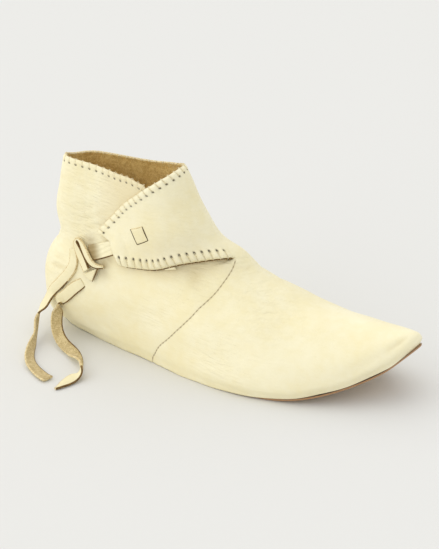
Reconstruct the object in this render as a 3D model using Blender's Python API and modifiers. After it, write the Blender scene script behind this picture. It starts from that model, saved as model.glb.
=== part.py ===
"""Soft leather ankle shoe with a pointed, upturned toe, for the right foot.

The upper is one leather wall: a closed vamp and quarter below the throat, and above it a
collar that winds once round the ankle and goes on as a flap over the outer side. A thin
sole closes it underneath. A strap from the flap ends in a flat knot with two tie ends.

Metres, +Z up, toe towards +X, outer side of the foot towards -Y. The origin lies on the
floor, under the middle of the upper's box.
"""
from typing import NamedTuple

import bpy
import numpy as np

# Driving sizes
LENGTH = 0.285
BALL_WIDTH = 0.095
COLLAR_HEIGHT = 0.135
TOE_SPRING = 0.033
SPRING_START = 0.67 * LENGTH
TIP_CURL = 0.0025
CURL_START = 0.90 * LENGTH
WALL = 0.0016
GAP = 0.0003
SOLE_THICKNESS = 0.0026
SOLE_MARGIN = 0.0012

# Mesh steps
COLUMN_STEP = 5
FULL_TURN = 360
RING_ROWS = 13
COLLAR_ROWS = 8
SOLE_COLUMNS = 8
FINITE_STEP = 0.002


class Ring(NamedTuple):
    """One closed section round the foot.

    Places along the shoe are in percent of its length, heights in percent of the collar
    height, and half widths in percent of the ball width, at four stations of the ring.
    """
    back: float
    front: float
    back_z: float
    front_z: float
    sag: float
    outer_heel: float
    outer_waist: float
    outer_ball: float
    outer_toe: float
    inner_heel: float
    inner_waist: float
    inner_ball: float
    inner_toe: float
    swing: float


RINGS = {
    "feather": Ring(3.0, 98.6, 0, 0, 0, 25, 47, 57, 32, 27, 28, 40, 23, 11.5),
    "edge": Ring(0.0, 99.1, 9, 6.9, 0, 32, 48, 60, 33, 33, 34, 42, 26, 11.5),
    "side": Ring(-0.5, 95.0, 21.5, 16, 0, 36, 46, 55, 32, 35, 37, 42, 27, 9.5),
    "vamp": Ring(-0.5, 82.0, 31, 29.5, 0, 35, 42, 47, 29, 34, 36, 39, 25, 7),
    "instep": Ring(0.5, 68.5, 41, 38.5, 0, 32, 37, 39, 25, 31, 34, 34, 22, 4),
    "throat": Ring(2.5, 57.0, 48, 48, 0, 28, 33, 34, 22, 27, 32, 31, 21, 2),
    "ankle": Ring(4.0, 48.5, 55.5, 59, 0, 26, 28, 29, 20, 25, 29, 28, 19, 1),
    "shaft": Ring(3.0, 43.0, 69.5, 75.5, 2, 22, 22, 26, 21, 22, 27, 27, 18, 0),
    "collar": Ring(4.9, 37.5, 90.5, 100, 6.5, 14, 16, 23, 24, 18, 24, 27, 16, 0),
}
STATIONS = np.array([0.12, 0.40, 0.67, 0.90])
HARMONICS = np.arange(1, 5)
SAG_SHAPE = 6.75
HEIGHTS = slice(2, 4)
OUTER = slice(5, 9)
INNER = slice(9, 13)

# The flap, by angle round the ankle: 0 at the heel, 180 at the toe, 90 on the outer side
THROAT_ANGLE = 175
FLAP_END_ANGLE = 75
QUARTER_FRONT_ANGLE = 170
RIM_DROP_ANGLE = 126
RIM_LOW_ANGLE = 160
RIM_DROP = 0.24
THROAT_LEVEL = 0.70
FLAP_LIFT = WALL + 0.0008
LIFT_START_ANGLE = 195
LIFT_FULL_ANGLE = 170
LIFT_RISE = 0.2
FLAP_CORNER_BACK = 7.0
FLAP_CORNER_FROM = 0.80
COLLAR_RISE = 0.0053
COLLAR_RISE_ANGLE = 14
COLLAR_RISE_REACH = 20
COLLAR_FALL_ANGLE = 106
COLLAR_FALL_REACH = 27
COLLAR_FADE_LEVEL = 0.80


class FlapEdge(NamedTuple):
    """Heights of the flap's two edges, as shares of the way from feather to collar."""
    lower: float
    upper: float


FLAP_EDGES = [
    FlapEdge(0.70, 1.0),
    FlapEdge(0.718, 1.0),
    FlapEdge(0.703, 0.982),
    FlapEdge(0.652, 0.925),
    FlapEdge(0.626, 0.810),
]


class Patch(NamedTuple):
    """A leather piece that follows the upper: its corner places, lift and thickness."""
    angles: tuple
    levels: tuple
    lift: float
    crown: float
    thickness: float


# Corners run lower front, lower back, upper back, upper front
WINDOW = Patch((115, 103.5, 103, 115.5), (0.815, 0.783, 0.846, 0.868), FLAP_LIFT + GAP, 0.0005, 0.0010)
STRAP = Patch((80.8, 69.0, 66.0, 80.5), (0.70, 0.63, 0.725, 0.766), GAP, 0.0014, 0.0016)
KNOT_TIP = Patch((61.0, 59.5, 56.5, 65.6), (0.450, 0.452, 0.480, 0.540), GAP, 0.0, 0.0018)
PATCH_STEPS = 8


class LoopPoint(NamedTuple):
    """A point of the knot's loop on the quarter.

    Angle round the ankle and level, then the band's width and lift in millimetres.
    """
    angle: float
    level: float
    width: float
    lift: float


KNOT_LOOP = [
    LoopPoint(59.8, 0.526, 5.4, 3.0),
    LoopPoint(58.5, 0.562, 5.8, 2.0),
    LoopPoint(56.6, 0.608, 5.8, 1.0),
    LoopPoint(54.4, 0.653, 5.4, 0.6),
    LoopPoint(52.4, 0.693, 4.6, 0.5),
    LoopPoint(51.7, 0.719, 3.4, 0.5),
    LoopPoint(53.4, 0.738, 2.8, 0.5),
    LoopPoint(56.0, 0.732, 3.4, 0.5),
    LoopPoint(58.4, 0.705, 4.2, 0.5),
    LoopPoint(60.6, 0.665, 4.8, 0.6),
    LoopPoint(62.4, 0.625, 4.8, 0.9),
    LoopPoint(64.5, 0.585, 4.4, 1.0),
    LoopPoint(67.0, 0.571, 3.6, 0.8),
    LoopPoint(71.0, 0.578, 2.4, 0.6),
]
LOOP_THICKNESS = 0.0020
LOOP_POINTS = 48


class TiePoint(NamedTuple):
    """A point of a tie end clear of the shoe, in millimetres from the heel on the floor.

    The last three values give the direction that the grain side faces.
    """
    x: float
    y: float
    z: float
    width: float
    face_x: float
    face_y: float
    face_z: float


class TieStart(NamedTuple):
    """A point of a tie end on the quarter: angle, level, and width in millimetres."""
    angle: float
    level: float
    width: float


MM = 0.001
TIE_THICKNESS = 0.0016
TIE_CLEARANCE = 0.0010
TIE_POINTS = 64
TIE_FINE_POINTS = 400
TIE_SOFTENING = 4
TIE_STARTS = {
    "tie_end_back": [
        TieStart(48.2, 0.655, 5.0),
        TieStart(50.0, 0.577, 6.6),
        TieStart(49.6, 0.505, 7.4),
        TieStart(45.6, 0.440, 7.6),
        TieStart(38.8, 0.360, 7.4),
        TieStart(30.8, 0.277, 7.2),
    ],
    "tie_end_front": [
        TieStart(53.4, 0.410, 7.4),
        TieStart(50.6, 0.382, 8.2),
        TieStart(47.6, 0.352, 8.2),
        TieStart(41.0, 0.283, 8.0),
        TieStart(35.0, 0.225, 7.8),
    ],
}
TIE_FREE = {
    "tie_end_back": [
        TiePoint(13, -35.5, 22.5, 8.0, -0.5, -0.9, 0.0),
        TiePoint(11, -37, 19, 7.8, -0.7, -0.7, 0.0),
        TiePoint(9.5, -41, 13, 7.2, -1.0, -0.2, 0.0),
        TiePoint(12, -47.5, 7, 7.0, -1.0, -0.1, 0.0),
        TiePoint(15, -53, 5, 6.6, -1.0, -0.2, -0.1),
        TiePoint(19, -61, 4.3, 7.0, -0.8, -0.2, -0.5),
        TiePoint(22.5, -70, 3.8, 7.4, -0.7, -0.1, -0.7),
        TiePoint(27, -77.5, 3.2, 7.8, -0.5, -0.1, -0.9),
        TiePoint(32, -84, 2.3, 8.0, -0.3, 0.0, -1.0),
        TiePoint(39, -88.5, 1.7, 8.0, -0.1, 0.0, -1.0),
        TiePoint(45, -92.5, 1.5, 8.2, 0.0, 0.0, -1.0),
        TiePoint(54.5, -96, 1.5, 8.6, 0.0, 0.0, -1.0),
    ],
    "tie_end_front": [
        TiePoint(24.5, -36, 22, 8.2, -0.9, -0.3, -0.3),
        TiePoint(24, -38, 18.5, 8.2, -0.6, 0.6, -0.6),
        TiePoint(27, -42.5, 11.5, 8.4, -0.4, 0.8, -0.4),
        TiePoint(30, -46, 8.6, 8.4, -0.4, 0.8, -0.4),
        TiePoint(41.5, -54.5, 5.2, 8.4, -0.4, 0.8, -0.4),
        TiePoint(49, -58.5, 4.7, 8.2, -0.5, 0.7, -0.5),
        TiePoint(55.5, -62, 4.5, 7.6, -0.6, 0.6, -0.6),
        TiePoint(61, -67, 4.4, 6.8, -0.8, 0.2, -0.5),
        TiePoint(66.5, -73, 4.4, 6.4, -0.9, -0.4, -0.2),
        TiePoint(70, -78.5, 4.3, 6.4, -0.9, -0.5, 0.1),
        TiePoint(71, -82.5, 3.8, 7.4, -0.5, -0.5, 0.7),
        TiePoint(70, -87, 2.8, 8.4, 0.0, -0.4, 0.9),
        TiePoint(68.5, -92, 2.1, 8.2, 0.1, -0.3, 0.9),
        TiePoint(67.5, -98, 1.6, 6.0, 0.0, -0.1, 1.0),
        TiePoint(66, -104.5, 1.4, 2.0, 0.0, 0.0, 1.0),
    ],
}


def smoothstep(value):
    """Rises from 0 to 1 with level ends as value goes from 0 to 1."""
    share = np.clip(value, 0.0, 1.0)
    return share * share * (3.0 - 2.0 * share)


def through_rows(table, share):
    """Reads a table of rows on a Catmull-Rom curve; share 0 is its first row, 1 its last."""
    last = len(table) - 1
    place = np.clip(share, 0.0, 1.0) * last
    row = np.clip(place.astype(int), 0, last - 1)
    step = (place - row)[..., None]
    padded = np.vstack([2 * table[0] - table[1], table, 2 * table[-1] - table[-2]])
    before, start, end, after = (padded[row + k] for k in range(4))
    bend = 2 * before - 5 * start + 4 * end - after
    twist = 3 * start - before - 3 * end + after
    return 0.5 * (2 * start + (end - before) * step + bend * step**2 + twist * step**3)


def ring_table():
    """The rings in metres, with the feather line a gap above the top of the sole."""
    units = [LENGTH] * 2 + [COLLAR_HEIGHT] * 3 + [BALL_WIDTH] * 9
    table = np.array(list(RINGS.values())) * np.array(units) / 100
    table[0, HEIGHTS] += SOLE_THICKNESS + GAP
    return table


def spring(x):
    """Lift of the sole at a place along the shoe, growing past the ball and again at the tip."""
    past_ball = np.clip((x - SPRING_START) / (LENGTH - SPRING_START), 0.0, None)
    past_toes = np.clip((x - CURL_START) / (LENGTH - CURL_START), 0.0, None)
    return TOE_SPRING * past_ball**2 + TIP_CURL * past_toes**2


def half_width(stations, angle):
    """Half width of a ring: a sum of sines of the angle through its four stations."""
    station_angles = np.arccos(1 - 2 * STATIONS)
    solve = np.linalg.inv(np.sin(np.outer(station_angles, HARMONICS)))
    waves = np.sin(np.abs(angle)[..., None] * HARMONICS)
    return (stations @ solve.T * waves).sum(-1)


def foot_form(angle_deg, level):
    """Outer face of the upper at an angle round the shoe and a level from feather to collar."""
    angle_deg, level = np.broadcast_arrays(np.asarray(angle_deg, float), np.asarray(level, float))
    angle = np.radians((angle_deg + 180) % FULL_TURN - 180)
    ring = through_rows(ring_table(), level)
    back, front, back_z, front_z, sag = (ring[..., k] for k in range(5))
    along = (1 - np.cos(angle)) / 2
    outer = -half_width(ring[..., OUTER], angle)
    inner = half_width(ring[..., INNER], angle)
    x = back + (front - back) * along
    y = np.where(angle >= 0, outer, inner) + ring[..., -1] * along**2
    z = back_z + (front_z - back_z) * along - sag * SAG_SHAPE * along**2 * (1 - along) + spring(x)
    return np.stack([x, y, z], -1)


def unit(vectors):
    """Vectors scaled to length one."""
    return vectors / np.linalg.norm(vectors, axis=-1, keepdims=True)


def form_normal(angle_deg, level):
    """Outward direction of the foot form, from two short steps across it."""
    turn = FINITE_STEP * FULL_TURN / 2
    low = np.clip(np.asarray(level, float) - FINITE_STEP, 0.0, 1.0)
    high = np.clip(np.asarray(level, float) + FINITE_STEP, 0.0, 1.0)
    angle_deg = np.asarray(angle_deg, float)
    round_foot = foot_form(angle_deg + turn, level) - foot_form(angle_deg - turn, level)
    up_foot = foot_form(angle_deg, high) - foot_form(angle_deg, low)
    return unit(np.cross(round_foot, up_foot))


def on_upper(angle_deg, level, lift):
    """A point at a height above the upper's outer face."""
    return foot_form(angle_deg, level) + form_normal(angle_deg, level) * np.asarray(lift)[..., None]


def frame_origin():
    """The floor point under the middle of the upper's box."""
    angles, levels = np.meshgrid(np.arange(0, FULL_TURN, 2), np.linspace(0, 1, 60))
    points = foot_form(angles, levels).reshape(-1, 3)
    middle = (points.min(0) + points.max(0)) / 2
    return np.array([middle[0], middle[1], 0.0])


def leather(name, color, roughness):
    """A Principled material."""
    material = bpy.data.materials.new(name)
    material.use_nodes = True
    shader = material.node_tree.nodes["Principled BSDF"]
    shader.inputs["Base Color"].default_value = (*color, 1.0)
    shader.inputs["Roughness"].default_value = roughness
    shader.inputs["Metallic"].default_value = 0.0
    return material


def mesh_object(name, points, faces, material):
    """A mesh from points of the shoe's own frame, moved to the origin of the part."""
    mesh = bpy.data.meshes.new(name)
    used, places = np.unique(np.concatenate([np.ravel(face) for face in faces]), return_inverse=True)
    corners = np.split(places, np.cumsum([len(face) for face in faces])[:-1])
    mesh.from_pydata((points[used] - frame_origin()).tolist(), [], [face.tolist() for face in corners])
    mesh.materials.append(material)
    mesh.shade_smooth()
    item = bpy.data.objects.new(name, mesh)
    parts.objects.link(item)
    return item


def thicken(item, thickness):
    """Gives an open surface its leather thickness on the inner side."""
    solidify = item.modifiers.new("thickness", "SOLIDIFY")
    solidify.thickness = thickness
    solidify.offset = -1.0
    return item


def flap_edges(angle_deg):
    """Levels of the flap's lower and upper edge at an angle round the ankle."""
    share = (THROAT_ANGLE - angle_deg) / (THROAT_ANGLE - FLAP_END_ANGLE)
    edges = through_rows(np.array(FLAP_EDGES), share)
    return edges[..., 0], edges[..., 1]


def quarter_rim(angle_deg):
    """Level of the collar's rim: full height, but cut away under the flap."""
    span = RIM_LOW_ANGLE - RIM_DROP_ANGLE
    return 1.0 - RIM_DROP * smoothstep((angle_deg - RIM_DROP_ANGLE) / span)


def collar_line(winding):
    """How far the rim stands above the form: raised along the outer side, as far as the flap."""
    behind = np.minimum(winding - COLLAR_RISE_ANGLE, 0) / COLLAR_RISE_REACH
    fall = smoothstep((winding - COLLAR_FALL_ANGLE) / COLLAR_FALL_REACH)
    return COLLAR_RISE * np.exp(-(behind**2)) * (1 - fall)


def upper_points():
    """Grid of the upper's outer face.

    Columns wind from the throat back along the outer side, round the heel, forward along
    the inner side and on over the front as the flap. Rows rise from feather to rim.
    """
    ring_columns = FULL_TURN // COLUMN_STEP
    flap_columns = (THROAT_ANGLE - FLAP_END_ANGLE) // COLUMN_STEP
    column = np.arange(ring_columns + flap_columns + 1)
    winding = THROAT_ANGLE - COLUMN_STEP * column
    row = np.arange(RING_ROWS + COLLAR_ROWS + 1)
    rise = np.clip((row - RING_ROWS) / COLLAR_ROWS, 0.0, 1.0)[None, :]
    on_flap = (column > ring_columns)[:, None]
    flap_angle = np.minimum(winding + FULL_TURN, THROAT_ANGLE)
    flap_share = np.clip((column - ring_columns) / flap_columns, 0.0, 1.0)[:, None]
    corner_rise = smoothstep((rise - FLAP_CORNER_FROM) / (1 - FLAP_CORNER_FROM))
    corner = FLAP_CORNER_BACK * flap_share**2 * (1 - corner_rise)
    angle = winding[:, None] + np.where(on_flap, FULL_TURN + corner, 0.0)
    lower, upper = flap_edges(flap_angle.astype(float))
    rim = quarter_rim(winding.astype(float))
    top_level = np.where(on_flap[:, 0], upper, rim)[:, None]
    foot_level = np.where(on_flap[:, 0], lower, THROAT_LEVEL)[:, None]
    ring_level = THROAT_LEVEL * np.minimum(row / RING_ROWS, 1.0)[None, :]
    level = np.where(row > RING_ROWS, foot_level + (top_level - foot_level) * rise, ring_level)
    level = np.where(on_flap & (row == RING_ROWS), foot_level, level)
    turn = (winding + FULL_TURN)[:, None]
    ramp = smoothstep((LIFT_START_ANGLE - turn) / (LIFT_START_ANGLE - LIFT_FULL_ANGLE))
    lift = FLAP_LIFT * ramp * np.where(on_flap, 1.0, smoothstep(rise / LIFT_RISE))
    points = on_upper(angle, level, lift)
    fade = smoothstep((level - COLLAR_FADE_LEVEL) / (1 - COLLAR_FADE_LEVEL))
    points[..., 2] += collar_line(winding)[:, None] * fade
    return points


def upper_faces():
    """Quads of the upper: the closed rings, then the collar and flap above the throat."""
    rows = RING_ROWS + COLLAR_ROWS
    ring_columns = FULL_TURN // COLUMN_STEP
    flap_columns = (THROAT_ANGLE - FLAP_END_ANGLE) // COLUMN_STEP
    quarter_front = (THROAT_ANGLE - QUARTER_FRONT_ANGLE) // COLUMN_STEP

    def corner(column, row):
        closed = column == ring_columns and row <= RING_ROWS
        return (0 if closed else column) * (rows + 1) + row

    faces = []
    for column in range(ring_columns + flap_columns):
        first = 0 if column < ring_columns else RING_ROWS
        last = RING_ROWS if column < quarter_front else rows
        for row in range(first, last):
            quad = [(column, row), (column, row + 1), (column + 1, row + 1), (column + 1, row)]
            faces.append(np.array([corner(*place) for place in quad]))
    return faces


def build_upper(material):
    """The upper with its flap, as one wall."""
    item = mesh_object("upper", upper_points().reshape(-1, 3), upper_faces(), material)
    return thicken(item, WALL)


def sole_edge(angle_deg):
    """Edge of the sole: the feather line moved outwards by the sole's margin."""
    line = foot_form(angle_deg, 0.0)[..., :2]
    run = foot_form(angle_deg + FINITE_STEP * FULL_TURN, 0.0)[..., :2] - line
    outward = unit(np.stack([-run[..., 1], run[..., 0]], -1))
    return line - outward * SOLE_MARGIN


def build_sole(material):
    """The sole: strips from edge to edge, flat under heel and ball and lifted at the toe."""
    angles = np.arange(0.0, FULL_TURN / 2 + COLUMN_STEP, COLUMN_STEP)
    outer = sole_edge(angles)
    inner = sole_edge(-angles)
    share = np.linspace(0.0, 1.0, SOLE_COLUMNS + 1)[None, :, None]
    plan = outer[:, None] + (inner - outer)[:, None] * share
    plan[0] = plan[0].mean(0)
    plan[-1] = plan[-1].mean(0)
    height = spring(plan[..., :1]) + SOLE_THICKNESS
    points = np.concatenate([plan, height], -1).reshape(-1, 3)
    width = SOLE_COLUMNS + 1
    last = len(angles) - 1
    faces = []
    for row in range(last):
        for column in range(SOLE_COLUMNS):
            near = row * width + column
            quad = [near, near + width, near + width + 1, near + 1]
            if row == 0:
                quad = [0, near + width, near + width + 1]
            if row == last - 1:
                quad = [near, last * width, near + 1]
            faces.append(np.array(quad))
    return thicken(mesh_object("sole", points, faces, material), SOLE_THICKNESS)


def build_patch(name, patch, material):
    """A leather piece laid on the upper between four corners, crowned in its middle."""
    share = np.linspace(0, 1, PATCH_STEPS + 1)
    across, up = np.meshgrid(share, share, indexing="ij")
    weights = np.stack([(1 - across) * (1 - up), across * (1 - up), across * up, (1 - across) * up], -1)
    angle = weights @ np.array(patch.angles)
    level = weights @ np.array(patch.levels)
    crown = np.sin(np.pi * across) * patch.crown
    points = on_upper(angle, level, patch.lift + patch.thickness + crown).reshape(-1, 3)
    width = PATCH_STEPS + 1
    faces = []
    for row in range(PATCH_STEPS):
        for column in range(PATCH_STEPS):
            near = row * width + column
            faces.append(np.array([near, near + 1, near + width + 1, near + width]))
    return thicken(mesh_object(name, points, faces, material), patch.thickness)


def build_strip(name, path, faces_to, width, thickness, material):
    """A flat strip along a path: a rectangle at each point, turned to face a direction."""
    run = unit(np.gradient(path, axis=0))
    side = unit(np.cross(faces_to, run))
    face = np.cross(run, side)
    half_side = side * (np.asarray(width) / 2).reshape(-1, 1)
    half_face = face * (thickness / 2)
    signs = [(1, 1), (-1, 1), (-1, -1), (1, -1)]
    sections = np.stack([path + half_side * a + half_face * b for a, b in signs], 1)
    count = len(path)
    faces = [np.array([3, 2, 1, 0]), np.arange(4) + 4 * (count - 1)]
    for row in range(count - 1):
        for corner in range(4):
            following = (corner + 1) % 4
            near = 4 * row
            faces.append(near + np.array([corner, following, following + 4, corner + 4]))
    return mesh_object(name, sections.reshape(-1, 3), faces, material)


def build_knot_loop(material):
    """The knot's flattened loop, a band folded back on itself on the quarter."""
    rows = through_rows(np.array(KNOT_LOOP), np.linspace(0, 1, LOOP_POINTS))
    angle, level, width, lift = rows.T
    path = on_upper(angle, level, lift * MM + LOOP_THICKNESS / 2)
    return build_strip("knot_loop", path, form_normal(angle, level), width * MM, LOOP_THICKNESS, material)


def tie_route(name):
    """Place, width and facing at even steps along a tie end, softened at its turns."""
    starts = np.array(TIE_STARTS[name])
    lift = np.full(len(starts), TIE_CLEARANCE + TIE_THICKNESS / 2)
    places = on_upper(starts[:, 0], starts[:, 1], lift)
    normals = form_normal(starts[:, 0], starts[:, 1])
    on_quarter = np.hstack([places, starts[:, 2:] * MM, normals])
    free = np.array(TIE_FREE[name]) * np.array([MM] * 4 + [1.0] * 3)
    rows = through_rows(np.vstack([on_quarter, free]), np.linspace(0, 1, TIE_FINE_POINTS))
    steps = np.linalg.norm(np.diff(rows[:, :3], axis=0), axis=1)
    walked = np.concatenate([[0.0], np.cumsum(steps)])
    even = np.linspace(0.0, walked[-1], TIE_POINTS)
    route = np.stack([np.interp(even, walked, column) for column in rows.T], -1)
    for _ in range(TIE_SOFTENING):
        route[1:-1] = (route[:-2] + 2 * route[1:-1] + route[2:]) / 4
    return route


def build_tie(name, material):
    """A tie end: down the quarter from the knot, then free to the floor."""
    route = tie_route(name)
    return build_strip(name, route[:, :3], route[:, 4:], route[:, 3], TIE_THICKNESS, material)


for leftover in list(bpy.data.objects):
    bpy.data.objects.remove(leftover, do_unlink=True)
parts = bpy.data.collections.new("elf_shoe")
bpy.context.scene.collection.children.link(parts)

cream = leather("cream_leather", (0.86, 0.76, 0.52), 0.55)
brown = leather("brown_sole_leather", (0.42, 0.27, 0.15), 0.60)
thong = leather("thong_leather", (0.80, 0.68, 0.44), 0.65)

build_sole(brown)
build_upper(cream)
build_patch("strap_window", WINDOW, cream)
build_patch("strap", STRAP, thong)
build_patch("knot_tip", KNOT_TIP, thong)
build_knot_loop(thong)
for tie_name in TIE_STARTS:
    build_tie(tie_name, thong)
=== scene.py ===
"""Dressed model of a soft leather ankle shoe with a pointed, upturned toe, for the right foot.

The upper with its flap, the sewn edges, the sole, the strap, the knot and the two tie ends are
surfaces worked out on one foot form, the form that the solids follow too. Metres, +Z up, toe
towards +X, outer side of the foot towards -Y, origin on the floor under the upper's middle.
"""

import logging
import math
from dataclasses import dataclass
from enum import Enum
from functools import cached_property
from typing import NamedTuple

import bpy
import numpy as np
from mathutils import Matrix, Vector


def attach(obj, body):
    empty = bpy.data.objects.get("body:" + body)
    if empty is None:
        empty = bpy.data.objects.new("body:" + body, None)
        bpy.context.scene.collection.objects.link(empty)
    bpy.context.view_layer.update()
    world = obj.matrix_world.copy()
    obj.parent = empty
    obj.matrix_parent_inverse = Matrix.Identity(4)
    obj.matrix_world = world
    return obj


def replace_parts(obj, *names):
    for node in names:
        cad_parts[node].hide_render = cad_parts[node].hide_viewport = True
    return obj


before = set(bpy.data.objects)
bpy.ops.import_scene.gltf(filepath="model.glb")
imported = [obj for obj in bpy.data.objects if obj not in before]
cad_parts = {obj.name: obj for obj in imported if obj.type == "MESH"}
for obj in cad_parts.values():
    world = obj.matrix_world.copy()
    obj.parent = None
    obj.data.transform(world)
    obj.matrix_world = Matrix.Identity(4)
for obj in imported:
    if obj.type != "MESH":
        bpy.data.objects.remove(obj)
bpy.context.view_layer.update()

Array = np.ndarray
Triple = tuple[float, float, float]
Colour = Triple
Places = tuple[tuple[float, float], ...]
Object = bpy.types.Object
Material = bpy.types.Material
Socket = bpy.types.NodeSocket
LOG = logging.getLogger("elf_shoe")
BODY = "root"
MM = 0.001
FULL_TURN = 360.0


class Ring(NamedTuple):
    """One closed section round the foot.

    Places along the shoe are in percent of its length, heights in percent of the collar
    height, and half widths in percent of the ball width, at four stations of the ring.
    """
    back: float
    front: float
    back_z: float
    front_z: float
    sag: float
    outer_heel: float
    outer_waist: float
    outer_ball: float
    outer_toe: float
    inner_heel: float
    inner_waist: float
    inner_ball: float
    inner_toe: float
    swing: float


RINGS = (
    Ring(3.0, 98.6, 0, 0, 0, 25, 47, 57, 32, 27, 28, 40, 23, 11.5),
    Ring(0.0, 99.1, 9, 6.9, 0, 32, 48, 60, 33, 33, 34, 42, 26, 11.5),
    Ring(-0.5, 95.0, 21.5, 16, 0, 36, 46, 55, 32, 35, 37, 42, 27, 9.5),
    Ring(-0.5, 82.0, 31, 29.5, 0, 35, 42, 47, 29, 34, 36, 39, 25, 7),
    Ring(0.5, 68.5, 41, 38.5, 0, 32, 37, 39, 25, 31, 34, 34, 22, 4),
    Ring(2.5, 57.0, 48, 48, 0, 28, 33, 34, 22, 27, 32, 31, 21, 2),
    Ring(4.0, 48.5, 55.5, 59, 0, 26, 28, 29, 20, 25, 29, 28, 19, 1),
    Ring(3.0, 43.0, 69.5, 75.5, 2, 22, 22, 26, 21, 22, 27, 27, 18, 0),
    Ring(4.9, 37.5, 90.5, 100, 6.5, 14, 16, 23, 24, 18, 24, 27, 16, 0),
)


def smoothstep(value: Array) -> Array:
    """Rises from 0 to 1 with level ends as value goes from 0 to 1: 3 v squared - 2 v cubed."""
    share = np.clip(value, 0.0, 1.0)
    return share * share * (3.0 - 2.0 * share)


def bell(value: Array) -> Array:
    """A bell curve, 1 at zero: e to the power of minus the square of value."""
    return np.exp(-value * value)


def unit(vectors: Array) -> Array:
    """Vectors scaled to length one."""
    return vectors / np.maximum(np.linalg.norm(vectors, axis=-1, keepdims=True), 1e-12)


def through_rows(table: Array, share: Array) -> Array:
    """Reads a table of rows on a Catmull-Rom curve.

    Args:
        table: Rows of numbers that the curve goes through, evenly spaced along it.
        share: Places on the curve, 0 at the first row and 1 at the last.

    Returns:
        The rows at those places, in the last axis.
    """
    last = len(table) - 1
    place = np.clip(share, 0.0, 1.0) * last
    row = np.clip(place.astype(int), 0, last - 1)
    step = (place - row)[..., None]
    padded = np.vstack([2 * table[0] - table[1], table, 2 * table[-1] - table[-2]])
    before, start, end, after = (padded[row + k] for k in range(4))
    bend = 2 * before - 5 * start + 4 * end - after
    twist = 3 * start - before - 3 * end + after
    return 0.5 * (2 * start + (end - before) * step + bend * step**2 + twist * step**3)


def run_along(points: Array, axis: int = 0) -> Array:
    """Length walked along rows of points, starting at 0.

    Args:
        points: Points in the last axis.
        axis: Axis along which the points follow each other.

    Returns:
        Lengths in metres.
    """
    steps = np.linalg.norm(np.diff(points, axis=axis), axis=-1)
    start = np.zeros_like(np.take(steps, [0], axis=axis))
    return np.concatenate([start, np.cumsum(steps, axis=axis)], axis=axis)


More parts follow.
